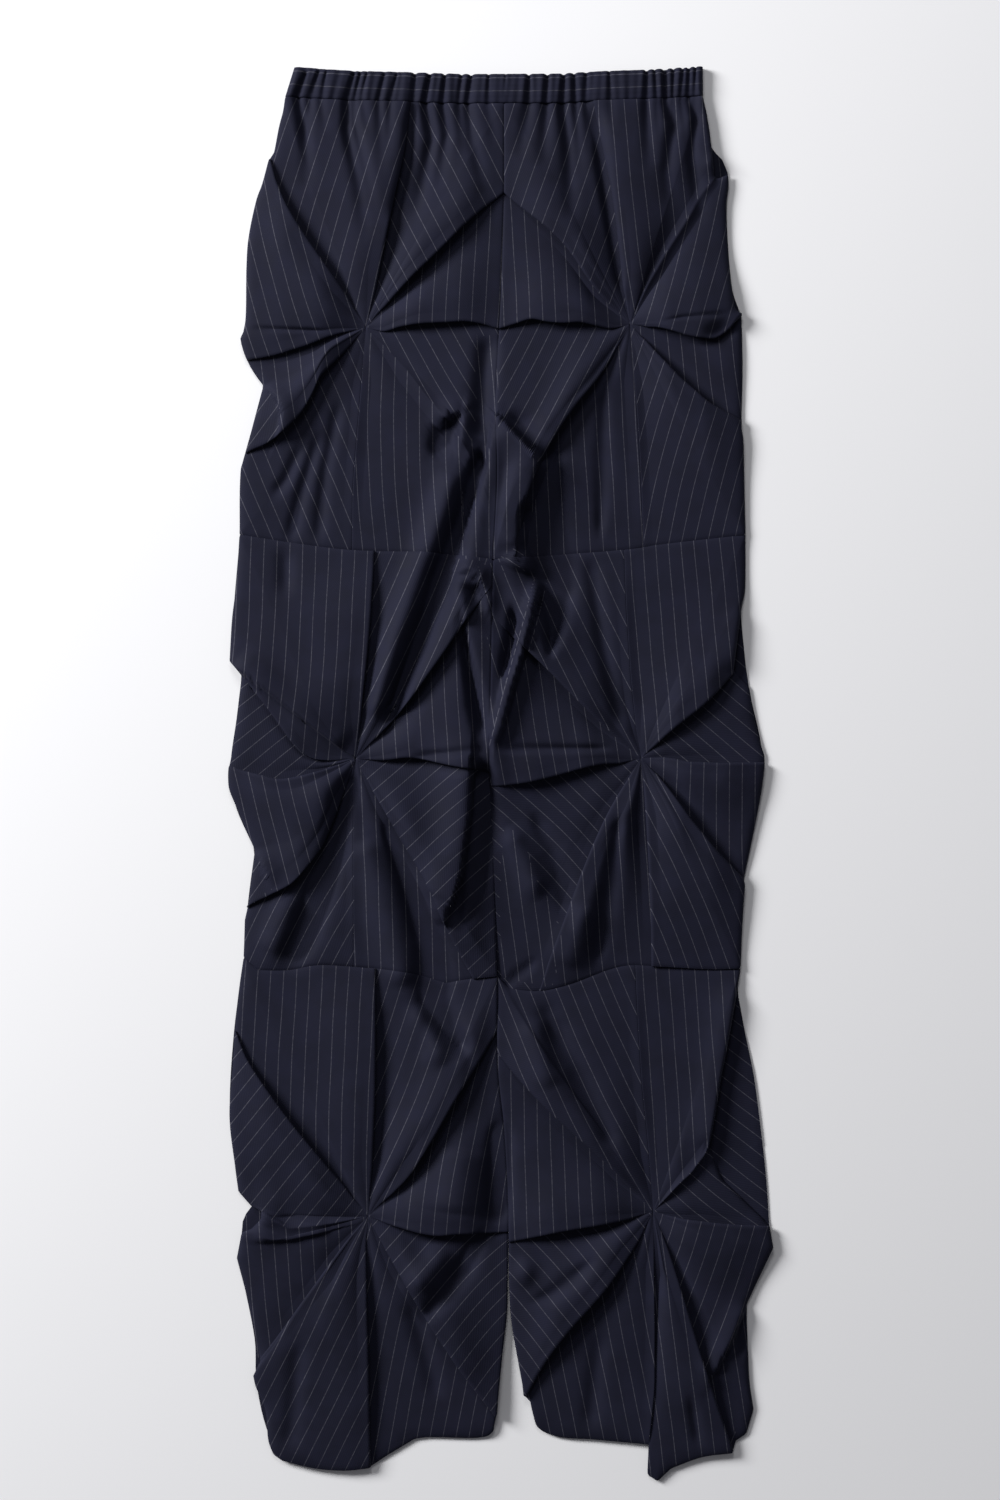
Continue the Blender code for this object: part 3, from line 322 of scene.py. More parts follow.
# Creases: kind, path x, y, half width and rise, which is negative in a trough. A pleat starts
# narrow in the band, then spreads and dies away down the cloth. A third value in a soft crease's path is the
# half width there. An edge stands its rise above the cloth on its right, and slopes away over its half width
# on its left.
CREASES = [
    ("pleat", [(-158, 546), (-158, 524), (-152, 493), (-150, 455)], 1.8, -6.0),
    ("pleat", [(-148, 547), (-149, 522), (-155, 485)], 1.6, -4.3),
    ("pleat", [(-141, 547), (-140, 525), (-137, 500)], 1.3, -2.9),
    ("pleat", [(-120, 546), (-120, 502), (-110, 458), (-104, 415)], 2.0, -6.5),
    ("pleat", [(-114, 546), (-114, 510), (-103, 462), (-97, 430)], 1.7, -4.5),
    ("pleat", [(-108, 546), (-109, 530), (-104, 500)], 1.2, -2.6),
    ("pleat", [(-95, 545), (-95, 522), (-92, 465)], 1.6, -3.0),
    ("pleat", [(-85, 545), (-86, 522), (-88, 480)], 1.4, -3.2),
    ("pleat", [(-70, 546), (-69, 524), (-73, 470)], 1.7, -5.5),
    ("pleat", [(-59, 545), (-59, 521), (-54, 496), (-59, 469), (-68, 430)], 2.0, -6.5),
    ("pleat", [(-46, 545), (-46, 522), (-42, 500), (-49, 455)], 1.8, -5.5),
    ("pleat", [(-33, 545), (-33, 522), (-28, 480)], 1.5, -4.1),
    ("pleat", [(-26, 545), (-26, 522), (-22, 494), (-11, 450)], 1.8, -5.5),
    ("pleat", [(-11, 545), (-11, 525), (-4, 490)], 1.3, -2.9),
    ("pleat", [(2, 545), (2, 530), (2, 512)], 1.0, -1.7),
    ("pleat", [(21, 545), (21, 519), (14, 480)], 1.7, -5.0),
    ("pleat", [(35, 545), (35, 519), (32, 470)], 1.7, -5.0),
    ("pleat", [(48, 545), (48, 519), (52, 491), (55, 430)], 2.1, -6.5),
    ("pleat", [(57, 546), (58, 522), (62, 460)], 1.6, -4.2),
    ("pleat", [(66, 546), (66, 524), (69, 480)], 1.6, -4.1),
    ("pleat", [(84, 547), (85, 530), (86, 500)], 1.2, -2.0),
    ("pleat", [(113, 549), (113, 524), (115, 470)], 1.8, -4.6),
    ("pleat", [(120, 549), (121, 530), (122, 495)], 1.2, -2.6),
    ("pleat", [(128, 550), (128, 524), (134, 506), (129, 470), (132, 440)], 2.0, -6.2),
    ("pleat", [(134, 550), (134, 526), (141, 480)], 1.4, -3.8),
    ("pleat", [(141, 551), (140, 526), (147, 475)], 1.5, -4.3),
    ("pleat", [(146, 551), (146, 526), (151, 512), (149, 480), (156, 430)], 1.7, -5.5),
    ("pleat", [(152, 551), (151, 528), (157, 485)], 1.4, -4.1),
    ("soft", [(71, 524, 4), (75, 506, 5), (79, 476, 5), (86, 430, 4), (94, 379, 3)], 5, -6),
    ("soft", [(-70, 520, 4), (-74, 480, 5), (-86, 430, 4)], 5, -3),
    ("soft", [(-4, 300), (-6, 200), (-8, 100), (-8, 20)], 42, 7),
    ("soft", [(-37, 236, 8), (-45, 210, 10), (-53, 185, 11), (-62, 160, 12), (-71, 135, 12), (-82, 108, 10),
              (-93, 75, 8), (-101, 45, 6)], 11, 8),
    ("soft", [(-10, 343), (-14, 300), (-16, 262)], 8, -6),
    ("soft", [(-14, 254, 4), (-18, 240, 5), (-24, 221, 6), (-30, 199, 7), (-37, 176, 9), (-46, 154, 10),
              (-54, 131, 10), (-65, 101, 9), (-78, 70, 6), (-88, 40, 4)], 7, -15),
    ("soft", [(-37, 279, 4), (-42, 265, 8), (-54, 247, 6)], 7, -11),
    ("edge", [(-29, 284), (-34, 253)], 10, 7),
    ("edge", [(-50, 273), (-29, 284)], 10, 6),
    ("edge", [(-7, 268), (-10, 241), (-19, 215), (-28, 188), (-36, 162), (-37, 146)], 20, 7),
    ("edge", [(12, 174), (13, 206), (23, 221), (30, 247), (13, 264), (2, 275)], 14, 11),
    ("soft", [(40, 250, 6), (33, 231, 10), (32, 208, 14), (33, 186, 15), (37, 164, 15), (41, 146, 13),
              (41, 122, 8), (38, 96, 3)], 12, -14),
    ("soft", [(4, 282, 6), (16, 272, 8), (28, 257, 8), (40, 236, 9)], 8, -7),
    ("edge", [(-1, 167), (14, 161), (30, 156)], 9, 4),
    ("edge", [(30, 160), (13, 180)], 12, 9),
    ("edge", [(-2, 26), (18, 101), (29, 139), (32, 154)], 7, 8),
    ("edge", [(27, 149), (15, 121), (5, 84), (-8, 23)], 6, 4),
    ("soft", [(9, 134, 3), (11, 116, 5), (7, 94, 5), (1, 72, 3)], 5, -10),
    ("soft", [(-32, 148, 4), (-23, 142, 6), (-18, 131, 5)], 6, -11),
    ("edge", [(-38, 155), (-28, 160), (-18, 154), (-12, 140), (-10, 125)], 8, 5),
    ("edge", [(-30, 131), (-24, 100), (-17, 63), (-9, 24)], 14, 4),
    ("soft", [(-31, 112, 3), (-25, 84, 4), (-19, 54, 6), (-13, 29, 5)], 4, -10),
    ("edge", [(-8, 43), (-6, -7)], 12, 4),
    ("soft", [(-132, 346), (-165, 347), (-197, 348)], 1.6, -2.2),
    ("edge", [(-209, 86), (-183, 67), (-165, 53), (-122, 20)], 14, 6.5),
    ("edge", [(-183, 303), (-173, 292), (-170, 280), (-172, 268), (-175, 261)], 10, 5),
    ("edge", [(-191, -59), (-184, -74), (-177, -87)], 10, 4),
    ("soft", [(-182, -338), (-186, -350)], 14, 8),
    ("soft", [(-193, -336), (-193, -352)], 4.5, -12),
    ("edge", [(161.5, -290), (165, -271), (171.5, -233), (176, -211), (184, -166)], 14, 4.5),
    ("edge", [(180.8, 81), (184, 106), (187, 131)], 12, 3.5),
    ("edge", [(165.7, 466), (163.9, 488)], 8, 4.5),
    ("edge", [(163, -471), (178.6, -442), (191, -412)], 12, 4.5),
    ("soft", [(190, -418), (189, -436), (185, -455)], 3.5, -6),
    ("soft", [(124, 353), (140, 356), (183, 360)], 1.6, -1.6),
    ("soft", [(-133, -345), (-184, -344)], 1.6, -1.6),
    ("edge", [(-193, -362), (-164, -361), (-133, -354)], 14, 3),
    ("edge", [(-38, -99), (-31, -77), (-28, -56), (-24, -27), (-23, 4)], 22, 12),
    ("soft", [(-14, 12, 8), (-15, -38, 8), (-21, -81, 7), (-31, -117, 5)], 6, -12),
    ("soft", [(-108, -50, 10), (-97, -80, 14), (-88, -110, 15), (-80, -140, 14), (-76, -165, 10)], 14, 6.5),
    ("soft", [(-89, -36, 4), (-75, -72, 7), (-64, -103, 9), (-55, -129, 10), (-52, -158, 10), (-52, -175, 9),
              (-41, -197, 8), (-25, -218, 5)], 8, -12),
    ("soft", [(-66, -178, 8), (-56, -204, 10), (-44, -226, 8)], 9, 6),
    ("soft", [(-162, -92, 10), (-171, -118, 14), (-180, -140, 10)], 12, 6),
    ("soft", [(-124, -30, 4), (-131, -60, 8), (-142, -91, 11), (-153, -120, 11), (-165, -146, 8)], 9, -8),
    ("soft", [(-30, -290, 16), (-38, -340, 18)], 18, 6),
    ("soft", [(0, -270, 7), (-2, -320, 9), (-5, -350, 8)], 9, -9),
    ("soft", [(-42, -366, 9), (-58, -388, 10), (-72, -400, 8)], 10, 6),
    ("soft", [(-13, -354, 4), (-29, -384, 8), (-46, -406, 8), (-62, -424, 4)], 8, -5.5),
    ("soft", [(20, -374, 8), (16, -400, 9)], 9, 5),
    ("soft", [(24, -409, 3), (38, -405, 6), (54, -393, 7), (72, -377, 4)], 8, -3.5),
    ("soft", [(22, -190, 12), (44, -240, 14)], 14, 5),
    ("soft", [(40, -188, 7), (62, -238, 11), (88, -290, 6)], 10, -4.5),
    ("soft", [(4, -40, 8), (18, -66, 10), (30, -96, 8)], 9, 6),
    ("soft", [(24, -28, 4), (40, -56, 8), (50, -88, 9), (54, -122, 5)], 9, -3),
    ("soft", [(62, -100, 12), (58, -130, 14), (52, -150, 12)], 13, 5),
    ("soft", [(-73, 14), (-9, 21)], 3, -2.5),
    ("soft", [(80, 305, 3), (79, 245, 7), (77, 184, 3)], 6, -2.5),
    ("soft", [(92, -30, 3), (85, -80, 8), (78, -120, 8), (74, -146, 4)], 8, -5),
    ("soft", [(94, 35), (80, 98), (69, 171)], 6, -3),
    ("soft", [(-7, 21), (88, 21)], 3, -2.5),
    ("soft", [(-115, 2), (-133, -66), (-158, -140)], 7, -5),
    ("soft", [(-168, 180), (-168, 137)], 6, -3),
    ("soft", [(-153, 262), (-168, 230), (-180, 215)], 5, -3),
    ("soft", [(-141, 269), (-157, 215), (-165, 180)], 5, -3),
    ("soft", [(-126, 293), (-137, 238), (-143, 180)], 5, -2.5),
    ("soft", [(155, 340), (183, 351)], 6, -5),
    ("soft", [(-1, -167), (30, -142)], 3, -4),
    ("soft", [(-55, -163), (-63, -222)], 7, -2.5),
    ("soft", [(34, -175), (46, -238)], 7, -3),
    ("soft", [(-71, -409), (-48, -487)], 7, -2.5),
    ("soft", [(77, -433), (69, -511)], 7, -2.5),
    ("soft", [(-157, -440), (-165, -526)], 7, -2.5),
    ("soft", [(147, -479), (155, -526)], 4, -2.5),
]

# Section across a folded tuck from the top side to the lower side. Flat: place and share of the lift. Folded:
# place as shares of the half width, of the depth turned under and of the lip's radius, then height as shares
# of the lift and of the lip's radius
FOLD_SECTION = np.array([
    (-1.00, 1.00, -1.00, 0.0, 0.00, 1.00, 0.00),
    (-0.75, 1.00, -0.66, 0.0, 0.00, 1.00, 0.00),
    (-0.50, 0.97, -0.38, 0.0, 0.00, 1.00, 0.00),
    (-0.30, 0.91, -0.18, 0.0, 0.00, 1.00, 0.00),
    (-0.15, 0.83, -0.06, 0.0, 0.00, 1.00, 0.00),
    (-0.05, 0.73, 0.00, 0.0, 0.50, 1.00, -0.13),
    (0.05, 0.61, 0.00, 0.0, 0.87, 1.00, -0.50),
    (0.13, 0.50, 0.00, 0.0, 1.00, 1.00, -1.00),
    (0.21, 0.40, 0.00, 0.0, 0.87, 1.00, -1.50),
    (0.30, 0.31, 0.00, 0.0, 0.50, 1.00, -1.87),
    (0.38, 0.24, 0.00, 0.0, 0.00, 1.00, -2.00),
    (0.47, 0.16, 0.00, -0.5, 0.00, 0.70, -1.40),
    (0.57, 0.10, 0.00, -1.0, 0.00, 0.35, -0.70),
    (0.66, 0.05, 0.00, -0.8, 0.00, 0.00, 0.00),
    (0.80, 0.01, 0.00, 0.0, 0.00, 0.00, 0.00),
    (1.00, 0.00, 1.00, 0.0, 0.00, 0.00, 0.00),
])
FOLD_SPLIT = 13

# Section across a tuck with nothing turned under: place as a share of the half width, and share of the lift.
# Each section's two sides part at its split
CREASE_SECTION = np.array([
    (-1.00, 0.45), (-0.50, 0.60), (-0.20, 0.85), (-0.07, 0.97), (0.00, 1.00), (0.07, 0.93), (0.20, 0.70),
    (0.50, 0.30), (1.00, 0.00),
])
CREASE_SPLIT = 4


def smooth(low, high, value):
    """0 up to low, 1 from high on, and a smooth rise between."""
    share = np.clip((value - low) / (high - low), 0.0, 1.0)
    return share * share * (3.0 - 2.0 * share)


def spot(x, y):
    """A table row's point in metres."""
    return np.array(((x + SHIFT_X) * MM, (y + SHIFT_Y) * MM))


def run_along(points):
    """Distance run along a row of points, at each of them."""
    return np.concatenate(([0.0], np.cumsum(np.linalg.norm(np.diff(points, axis=0), axis=1))))


def on_row(points, run, place):
    """The points at given distances along a row of points."""
    return np.stack((np.interp(place, run, points[:, 0]), np.interp(place, run, points[:, 1])), -1)


def curve(start, leave, end, arrive, s):
    """A smooth curve at share s between start and end, which leaves and arrives in the given directions."""
    return (start * (2 * s**3 - 3 * s**2 + 1) + leave * (s**3 - 2 * s**2 + s)
            + end * (3 * s**2 - 2 * s**3) + arrive * (s**3 - s**2))


def line(name):
    """A seam or edge as a close row of points: a curve through the table's points, sharp corners kept."""
    points = [spot(x, y) for x, y in LINES[name]]
    last = len(points) - 1
    sharp = [True] * len(points)
    for i in range(1, last):
        before = points[i] - points[i - 1]
        after = points[i + 1] - points[i]
        turn = math.atan2(before[0] * after[1] - before[1] * after[0], float(np.dot(before, after)))
        sharp[i] = abs(turn) > CORNER
    row = []
    for i in range(last):
        chord = points[i + 1] - points[i]
        size = np.linalg.norm(chord)
        leave = chord
        arrive = chord
        if not sharp[i]:
            before = np.linalg.norm(points[i] - points[i - 1])
            leave = (points[i + 1] - points[i - 1]) * size / (size + before)
        if not sharp[i + 1]:
            after = np.linalg.norm(points[i + 2] - points[i + 1])
            arrive = (points[i + 2] - points[i]) * size / (size + after)
        for s in np.arange(0.0, 1.0, min(1.0, RIM_STEP / size)):
            if s > 0.0 and (1.0 - s) * size < RIM_STEP / 2:
                continue
            row.append(curve(points[i], leave, points[i + 1], arrive, s))
    row.append(points[last])
    return row


def eighths(values, r):
    """A smooth curve at r, nought at 0 and 1, through the seven values at the eighths between."""
    full = np.concatenate(([0.0], values, [0.0])) * MM
    place = min(r, 0.9999) * 8
    i = int(place)
    leave = (full[i + 1] - full[max(i - 1, 0)]) / 2
    arrive = (full[min(i + 2, 8)] - full[i]) / 2
    return curve(full[i], leave, full[i + 1], arrive, place - i)


class Tier:
    """One tier of one leg: a fan from the star's centre out to the lines round it, which are its rim.

    In what follows, t is a distance round the rim, clockwise from its top left corner, r is a share of the
    way out from the centre, and k is the number of a tuck, clockwise from the waist.
    """

    def __init__(self, name, lines=None, loft=LOFT, step=RIM_STEP, levels=LEVELS):
        x, y, *front_lines = TIERS[name]
        self.name = name
        self.loft = loft
        self.step = step
        self.levels = levels
        self.centre = spot(x, y)
        self.trace(*(lines or front_lines))
        self.tucks = []
        last = -1.0
        folded = loft > 0.0
        for end_x, end_y, bows, top_side, lift, end, depth in TUCKS[name]:
            t = self.nearest(spot(end_x, end_y))
            t += self.total if t < last else 0.0
            last = t
            reach = self.ring(t) - self.centre
            size = np.linalg.norm(reach)
            chord = reach / size
            self.tucks.append({
                "t": t,
                "size": size,
                "slant": self.slants(t, chord),
                "side": np.array((-chord[1], chord[0])),
                "bows": bows if folded else (0.0,) * len(bows),
                "top": top_side,
                "lift": lift * MM,
                "end": end * MM,
                "depth": depth * MM if folded else 0.0,
            })
        self.marks = np.array([tuck["t"] for tuck in self.tucks] + [self.tucks[0]["t"] + self.total])

    def trace(self, top, right, bottom, left):
        """Lays the rim's points clockwise, and marks from 0 to 1 how far each is on an open edge."""
        points = []
        outer = []
        for kind, side in ((top, line(top)), (right, line(right)), (bottom, line(bottom)[::-1]),
                           (left, line(left)[::-1])):
            points += side[:-1]
            outer += [1.0 if "outer" in kind or "hem" in kind else 0.0] * (len(side) - 1)
        outer = np.array(outer)
        for _ in range(4):
            outer = (np.roll(outer, 1) + outer + np.roll(outer, -1)) / 3
        self.points = np.array(points + [points[0]])
        self.outer = np.append(outer, outer[0])
        self.arc = run_along(self.points)
        self.total = self.arc[-1]

    def slants(self, t, chord):
        """How squarely the rim crosses a tuck, before it and after it: 1 where it is square."""
        slants = []
        for aside in (-SLANT_REACH, SLANT_REACH):
            along = self.ring(t + aside) - self.ring(t)
            along = along / np.linalg.norm(along)
            slants.append(max(abs(chord[0] * along[1] - chord[1] * along[0]), LEAST_SLANT))
        return slants

    def nearest(self, point):
        """The place round the rim that is nearest to a point."""
        starts = self.points[:-1]
        steps = np.diff(self.points, axis=0)
        share = np.clip(((point - starts) * steps).sum(1) / (steps * steps).sum(1), 0.0, 1.0)
        gap = np.linalg.norm(starts + steps * share[:, None] - point, axis=1)
        i = int(np.argmin(gap))
        return self.arc[i] + np.linalg.norm(steps[i]) * share[i]

    def ring(self, t):
        """The rim's points at t."""
        return on_row(self.points, self.arc, np.mod(t, self.total))

    def place(self, t, r):
        """Where t lies at r, bent as the tucks on either side of it are."""
        t = np.where(t < self.marks[0], t + self.total, t)
        k = np.clip(np.searchsorted(self.marks, t, side="right") - 1, 0, STAR - 1)
        share = np.clip((t - self.marks[k]) / (self.marks[k + 1] - self.marks[k]), 0.0, 1.0)[:, None]
        bends = np.array([tuck["side"] * eighths(tuck["bows"], r) for tuck in self.tucks])
        straight = self.centre + (self.ring(t) - self.centre) * r
        return straight + bends[k] * (1.0 - share) + bends[(k + 1) % STAR] * share

    def rise(self, t, r, xy):
        """Height of the cloth's middle between the tucks: it comes down to the back panel at an open edge."""
        outer = np.interp(np.mod(t, self.total), self.arc, self.outer)
        rim = FRONT_RISE + (SIDE_RISE - FRONT_RISE) * outer
        dip = SEAM_DIP * smooth(SEAM_FROM, 1.0, r) * (1.0 - outer) * (1.0 - bunched(xy))
        return FRONT_RISE + (rim - FRONT_RISE) * (r ** EDGE_ROLL) - dip

    def lift(self, k, r):
        """Height of tuck k above the cloth at r."""
        tuck = self.tucks[k % STAR]
        top = tuck["lift"] * self.loft * smooth(0.0, LIFT_FULL, r)
        return top + (tuck["end"] - top) * smooth(LIFT_HELD, 1.0, r)

    def half(self, k, r):
        """Half width of tuck k at r."""
        return LIP_HALF * min(1.0, r * self.tucks[k % STAR]["size"] / LIP_HALF_REACH)

    def beside(self, k, r, along):
        """Places round the rim of points at r that lie along metres to the clockwise side of tuck k."""
        slant = self.tucks[k % STAR]["slant"]
        mark = self.tucks[k % STAR]["t"] + (self.total if k >= STAR else 0.0)
        return mark + along / (r * np.where(along > 0.0, slant[1], slant[0]))

    def across(self, k, r):
        """Section across tuck k at r, clockwise: distances, heights, and the row where its sides part."""
        tuck = self.tucks[k % STAR]
        lift = self.lift(k, r)
        half = self.half(k, r)
        turned = tuck["depth"] > 0.0
        if turned:
            folded = smooth(*FOLD_SPAN, r)
            radius = min(LIP_RADIUS, LIP_SHARE * lift)
            depth = tuck["depth"] * min(1.0, r * tuck["size"] / TURN_REACH)
            flat, share, wide, deep, round_x, high, round_z = FOLD_SECTION.T
            along = flat * half * (1.0 - folded) + (wide * half + deep * depth + round_x * radius) * folded
            z = lift * share * (1.0 - folded) + (lift * high + radius * round_z) * folded
            split = FOLD_SPLIT
        else:
            flat, share = CREASE_SECTION.T
            along = flat * half
            z = lift * share
            split = CREASE_SPLIT
            if k % 4 == 0:
                z = z - SEAM_DIP * np.exp(-(along / SEAM_WIDTH) ** 2)
        along = along * -tuck["top"]
        if tuck["top"] > 0:
            along = along[::-1]
            z = z[::-1]
            split = len(z) - split if turned else len(z) - 1 - split
        return along, z, split


def between(tier, k, r, count):
    """The cloth from tuck k to the next at r, in count steps: places round the rim, and heights."""
    along, z, _ = tier.across(k, r)
    start = tier.beside(k, r, along[-1:])[0]
    next_along, next_z, _ = tier.across(k + 1, r)
    end = tier.beside(k + 1, r, next_along[:1])[0]
    share = np.arange(1, count) / count
    width = (end - start) * r * FACET_WIDTH
    near = 1.0 / (1.0 + (share * width / LIP_SPREAD) ** 2)
    far = 1.0 / (1.0 + ((1.0 - share) * width / LIP_SPREAD) ** 2)
    rest = 1.0 / (1.0 + (width / LIP_SPREAD) ** 2)
    belly = BELLY * np.sin(math.pi * share) * math.sin(math.pi * r) * tier.loft / LOFT
    heights = (z[-1] * (near - rest) + next_z[0] * (far - rest)) / (1.0 - rest) + belly
    return start + (end - start) * share, heights


def fan(tier, first, last):
    """The cloth's middle between two tucks: points by level and column, and each column's facet."""
    counts = {}
    for k in range(first, last):
        rim = tier.marks[k % STAR + 1] - tier.marks[k % STAR]
        counts[k] = max(LEAST_COLUMNS, round(rim / tier.step))
    levels = [(j + 1) / tier.levels for j in range(tier.levels)]
    grid = []
    for r in levels:
        places = []
        heights = []
        facets = []
        for k in range(first, last + 1):
            along, z, split = tier.across(k, r)
            low = split if k == first else 0
            high = len(z)
            if k == last:
                high = split + (0 if tier.tucks[k % STAR]["depth"] > 0.0 else 1)
            places.append(tier.beside(k, r, along[low:high]))
            heights.append(z[low:high])
            facets.append(np.where(np.arange(low, high) < split, k - 1, k))
            if k < last:
                facet_places, facet_heights = between(tier, k, r, counts[k])
                places.append(facet_places)
                heights.append(facet_heights)
                facets.append(np.full(len(facet_places), k))
        t = np.concatenate(places)
        xy = tier.place(t, r)
        z = np.concatenate(heights) * (1.0 - bunched(xy) * smooth(BUNCH_FROM, 1.0, r))
        grid.append(np.column_stack((xy, tier.rise(t, r, xy) + z)))
    return np.array(grid), np.concatenate(facets)


def beside_path(path, points):
    """Each point's distance from a path, the same negative on its right, and place along it; its length."""
    best = np.full(len(points), 1e9)
    signed = np.zeros(len(points))
    where = np.zeros(len(points))
    run = 0.0
    for start, end in zip(path, path[1:]):
        way = end - start
        size = np.linalg.norm(way)
        share = np.clip(((points - start) @ way) / size ** 2, 0.0, 1.0)
        gap = np.linalg.norm(points - start - share[:, None] * way, axis=1)
        side = (way[0] * (points[:, 1] - start[1]) - way[1] * (points[:, 0] - start[0])) / size
        closer = gap < best
        best = np.where(closer, gap, best)
        signed = np.where(closer, np.sign(side) * gap, signed)
        where = np.where(closer, run + share * size, where)
        run += size
    return best, signed, where, run


def creased(xy):
    """How far the listed creases raise or sink the cloth at each point."""
    total = np.zeros(len(xy))
    for kind, rows, half_width, rise in CREASES:
        path = np.array([spot(*row[:2]) for row in rows])
        reach = half_width * MM
        widths = [row[2] if len(row) == 3 else half_width for row in rows]
        margin = 3 * max(widths) * MM * (3.0 if kind == "pleat" else 1.0)
        near = np.all((xy > path.min(0) - margin) & (xy < path.max(0) + margin), axis=1)
        if not near.any():
            continue
        gap, signed, where, run = beside_path(path, xy[near])
        if kind == "pleat":
            down = where / run
            fade = (1.0 - down) ** 0.7
            amount = np.exp(-(gap / (reach * (1.0 + PLEAT_SPREAD * down ** 0.8))) ** 2)
        else:
            fade = smooth(0.0, CREASE_FADE, where + reach * 0.5)
            fade = fade * smooth(0.0, CREASE_FADE, run - where + reach * 0.5)
        if kind == "soft":
            amount = np.exp(-(gap / (np.interp(where, run_along(path), widths) * MM)) ** 2)
        elif kind == "edge":
            amount = smooth(-EDGE_FOOT, 0.0, signed) * np.exp(-(np.maximum(signed, 0.0) / reach) ** 2)
        total[near] += rise * MM * amount * fade
    return total


def bunched(xy):
    """From 0 to 1, where the cloth bunches at the crotch, so that the seams run into the folds unseen."""
    x = xy[:, 0] + CROTCH_ASIDE
    y = xy[:, 1]
    return (1.0 - smooth(*BUNCH_SIDES, np.abs(x))) * smooth(*BUNCH_FOOT, y) * (1.0 - smooth(*BUNCH_TOP, y))


def lie(xy):
    """The unevenness of cloth that lies loose, from 1 down to -1: waves some 70 to 200 mm long."""
    x = xy[:, 0]
    y = xy[:, 1]
    long_waves = np.sin(41 * x + 17 * y + 0.6) * np.sin(29 * y - 11 * x)
    return (long_waves + 0.6 * np.sin(83 * x - 37 * y + 1.9) * np.sin(61 * y + 23 * x + 0.4)) / 1.6


def inside(outline, xy):
    """Whether each point lies inside a table's outline."""
    corners = [spot(x, y) for x, y in outline]
    odd = np.zeros(len(xy), bool)
    for (ax, ay), (bx, by) in zip(corners, corners[1:] + corners[:1]):
        if ay != by:
            crosses = (ay > xy[:, 1]) != (by > xy[:, 1])
            odd ^= crosses & (xy[:, 0] < ax + (bx - ax) * (xy[:, 1] - ay) / (by - ay))
    return odd


def stripe_place(name, facet, xy, zone_lean=None):
    """Each point's place across and along the stripes, in spacings: one runs at 0.5, 1.5, 2.5 and so on."""
    lean, curl = STRIPES[name][facet % STAR] if zone_lean is None else (zone_lean, 0)
    angle = math.radians(lean)
    x, y = (xy - spot(*TIERS[name][:2])).T
    along = math.sin(angle) * x + math.cos(angle) * y
    over = math.cos(angle) * x - math.sin(angle) * y
    bow = math.radians(curl) / CURL_LENGTH * along ** 2 / 2
    across = (over - bow + STRIPE_WANDER * lie(xy)) / STRIPE_SPACING + STRIPE_SHIFT * facet
    return np.column_stack((across, along / STRIPE_SPACING))


def sheet_faces(levels, columns):
    """Triangles that close a grid's first level onto the centre, point 0, and the grid's quads."""
    tip = [(0, i + 2, i + 1) for i in range(columns - 1)]
    j, i = np.mgrid[0:levels - 1, 0:columns - 1]
    corner = 1 + j.ravel() * columns + i.ravel()
    quads = np.column_stack((corner, corner + 1, corner + columns + 1, corner + columns))
    return np.array(tip), quads


def stripe_uvs(name, facets, points, tip, quads, zones):
    """The stripes' place at each corner of each face; the folds inside a zone have a lean of their own."""
    xy = points[:, :2]
    places = {facet: stripe_place(name, facet, xy) for facet in sorted(set(facets.tolist()))}
    face_facets = np.tile(facets, len(quads) // len(facets))
    uvs = np.zeros((len(quads), 4, 2))
    for facet, values in places.items():
        mine = face_facets == facet
        uvs[mine] = values[quads[mine]]
    middles = points[quads].mean(axis=1)[:, :2]
    for outline, lean in zones:
        mine = inside(outline, middles)
        if mine.any():
            uvs[mine] = stripe_place(name, 0, xy, lean)[quads[mine]]
    tip_uvs = np.array([[places[facet][v] for v in corners] for facet, corners in zip(facets, tip)])
    return np.concatenate((tip_uvs[:, ::-1].reshape(-1, 2), uvs[:, ::-1].reshape(-1, 2)))


def press_back(points):
    """Lays a back panel flat, with only a trace of its seams, star lines and edges."""
    points[:, 2] = BACK_RISE + np.clip(points[:, 2] - FRONT_RISE, -BACK_GROOVE, BACK_GROOVE)


def shape_front(points):
    """Adds a front panel's creases, unevenness and rise to the band, and holds its height within limits."""
    xy = points[:, :2]
    points[:, 2] += creased(xy) + UNEVEN * lie(xy)
    points[:, 2] += WAIST_LIFT * smooth(*WAIST_SPAN, points[:, 1])
    points[:, 2] = np.maximum(points[:, 2], LOWEST_FRONT)
    spare = np.maximum(points[:, 2] - HIGH_CLOTH, 0.0) / HIGH_SPARE
    points[:, 2] -= HIGH_SPARE * (spare - 1.0 + np.exp(-spare))


def cloth_mesh(name, points, faces, uvs, material):
    """A mesh with the stripes' places in its UV map."""
    data = bpy.data.meshes.new(name)
    data.from_pydata(points.tolist(), [], faces)
    data.uv_layers.new(name="stripe").data.foreach_set("uv", np.array(uvs, np.float32).ravel())
    data.materials.append(material)
    return data


def merge(data):
    """Merges the points that meet, and turns the faces up."""
    mesh = bmesh.new()
    mesh.from_mesh(data)
    bmesh.ops.remove_doubles(mesh, verts=mesh.verts, dist=MEET)
    bmesh.ops.recalc_face_normals(mesh, faces=mesh.faces)
    up = sum(face.normal.z * face.calc_area() for face in mesh.faces)
    if up < 0.0:
        bmesh.ops.reverse_faces(mesh, faces=mesh.faces)
    mesh.to_mesh(data)
    mesh.free()


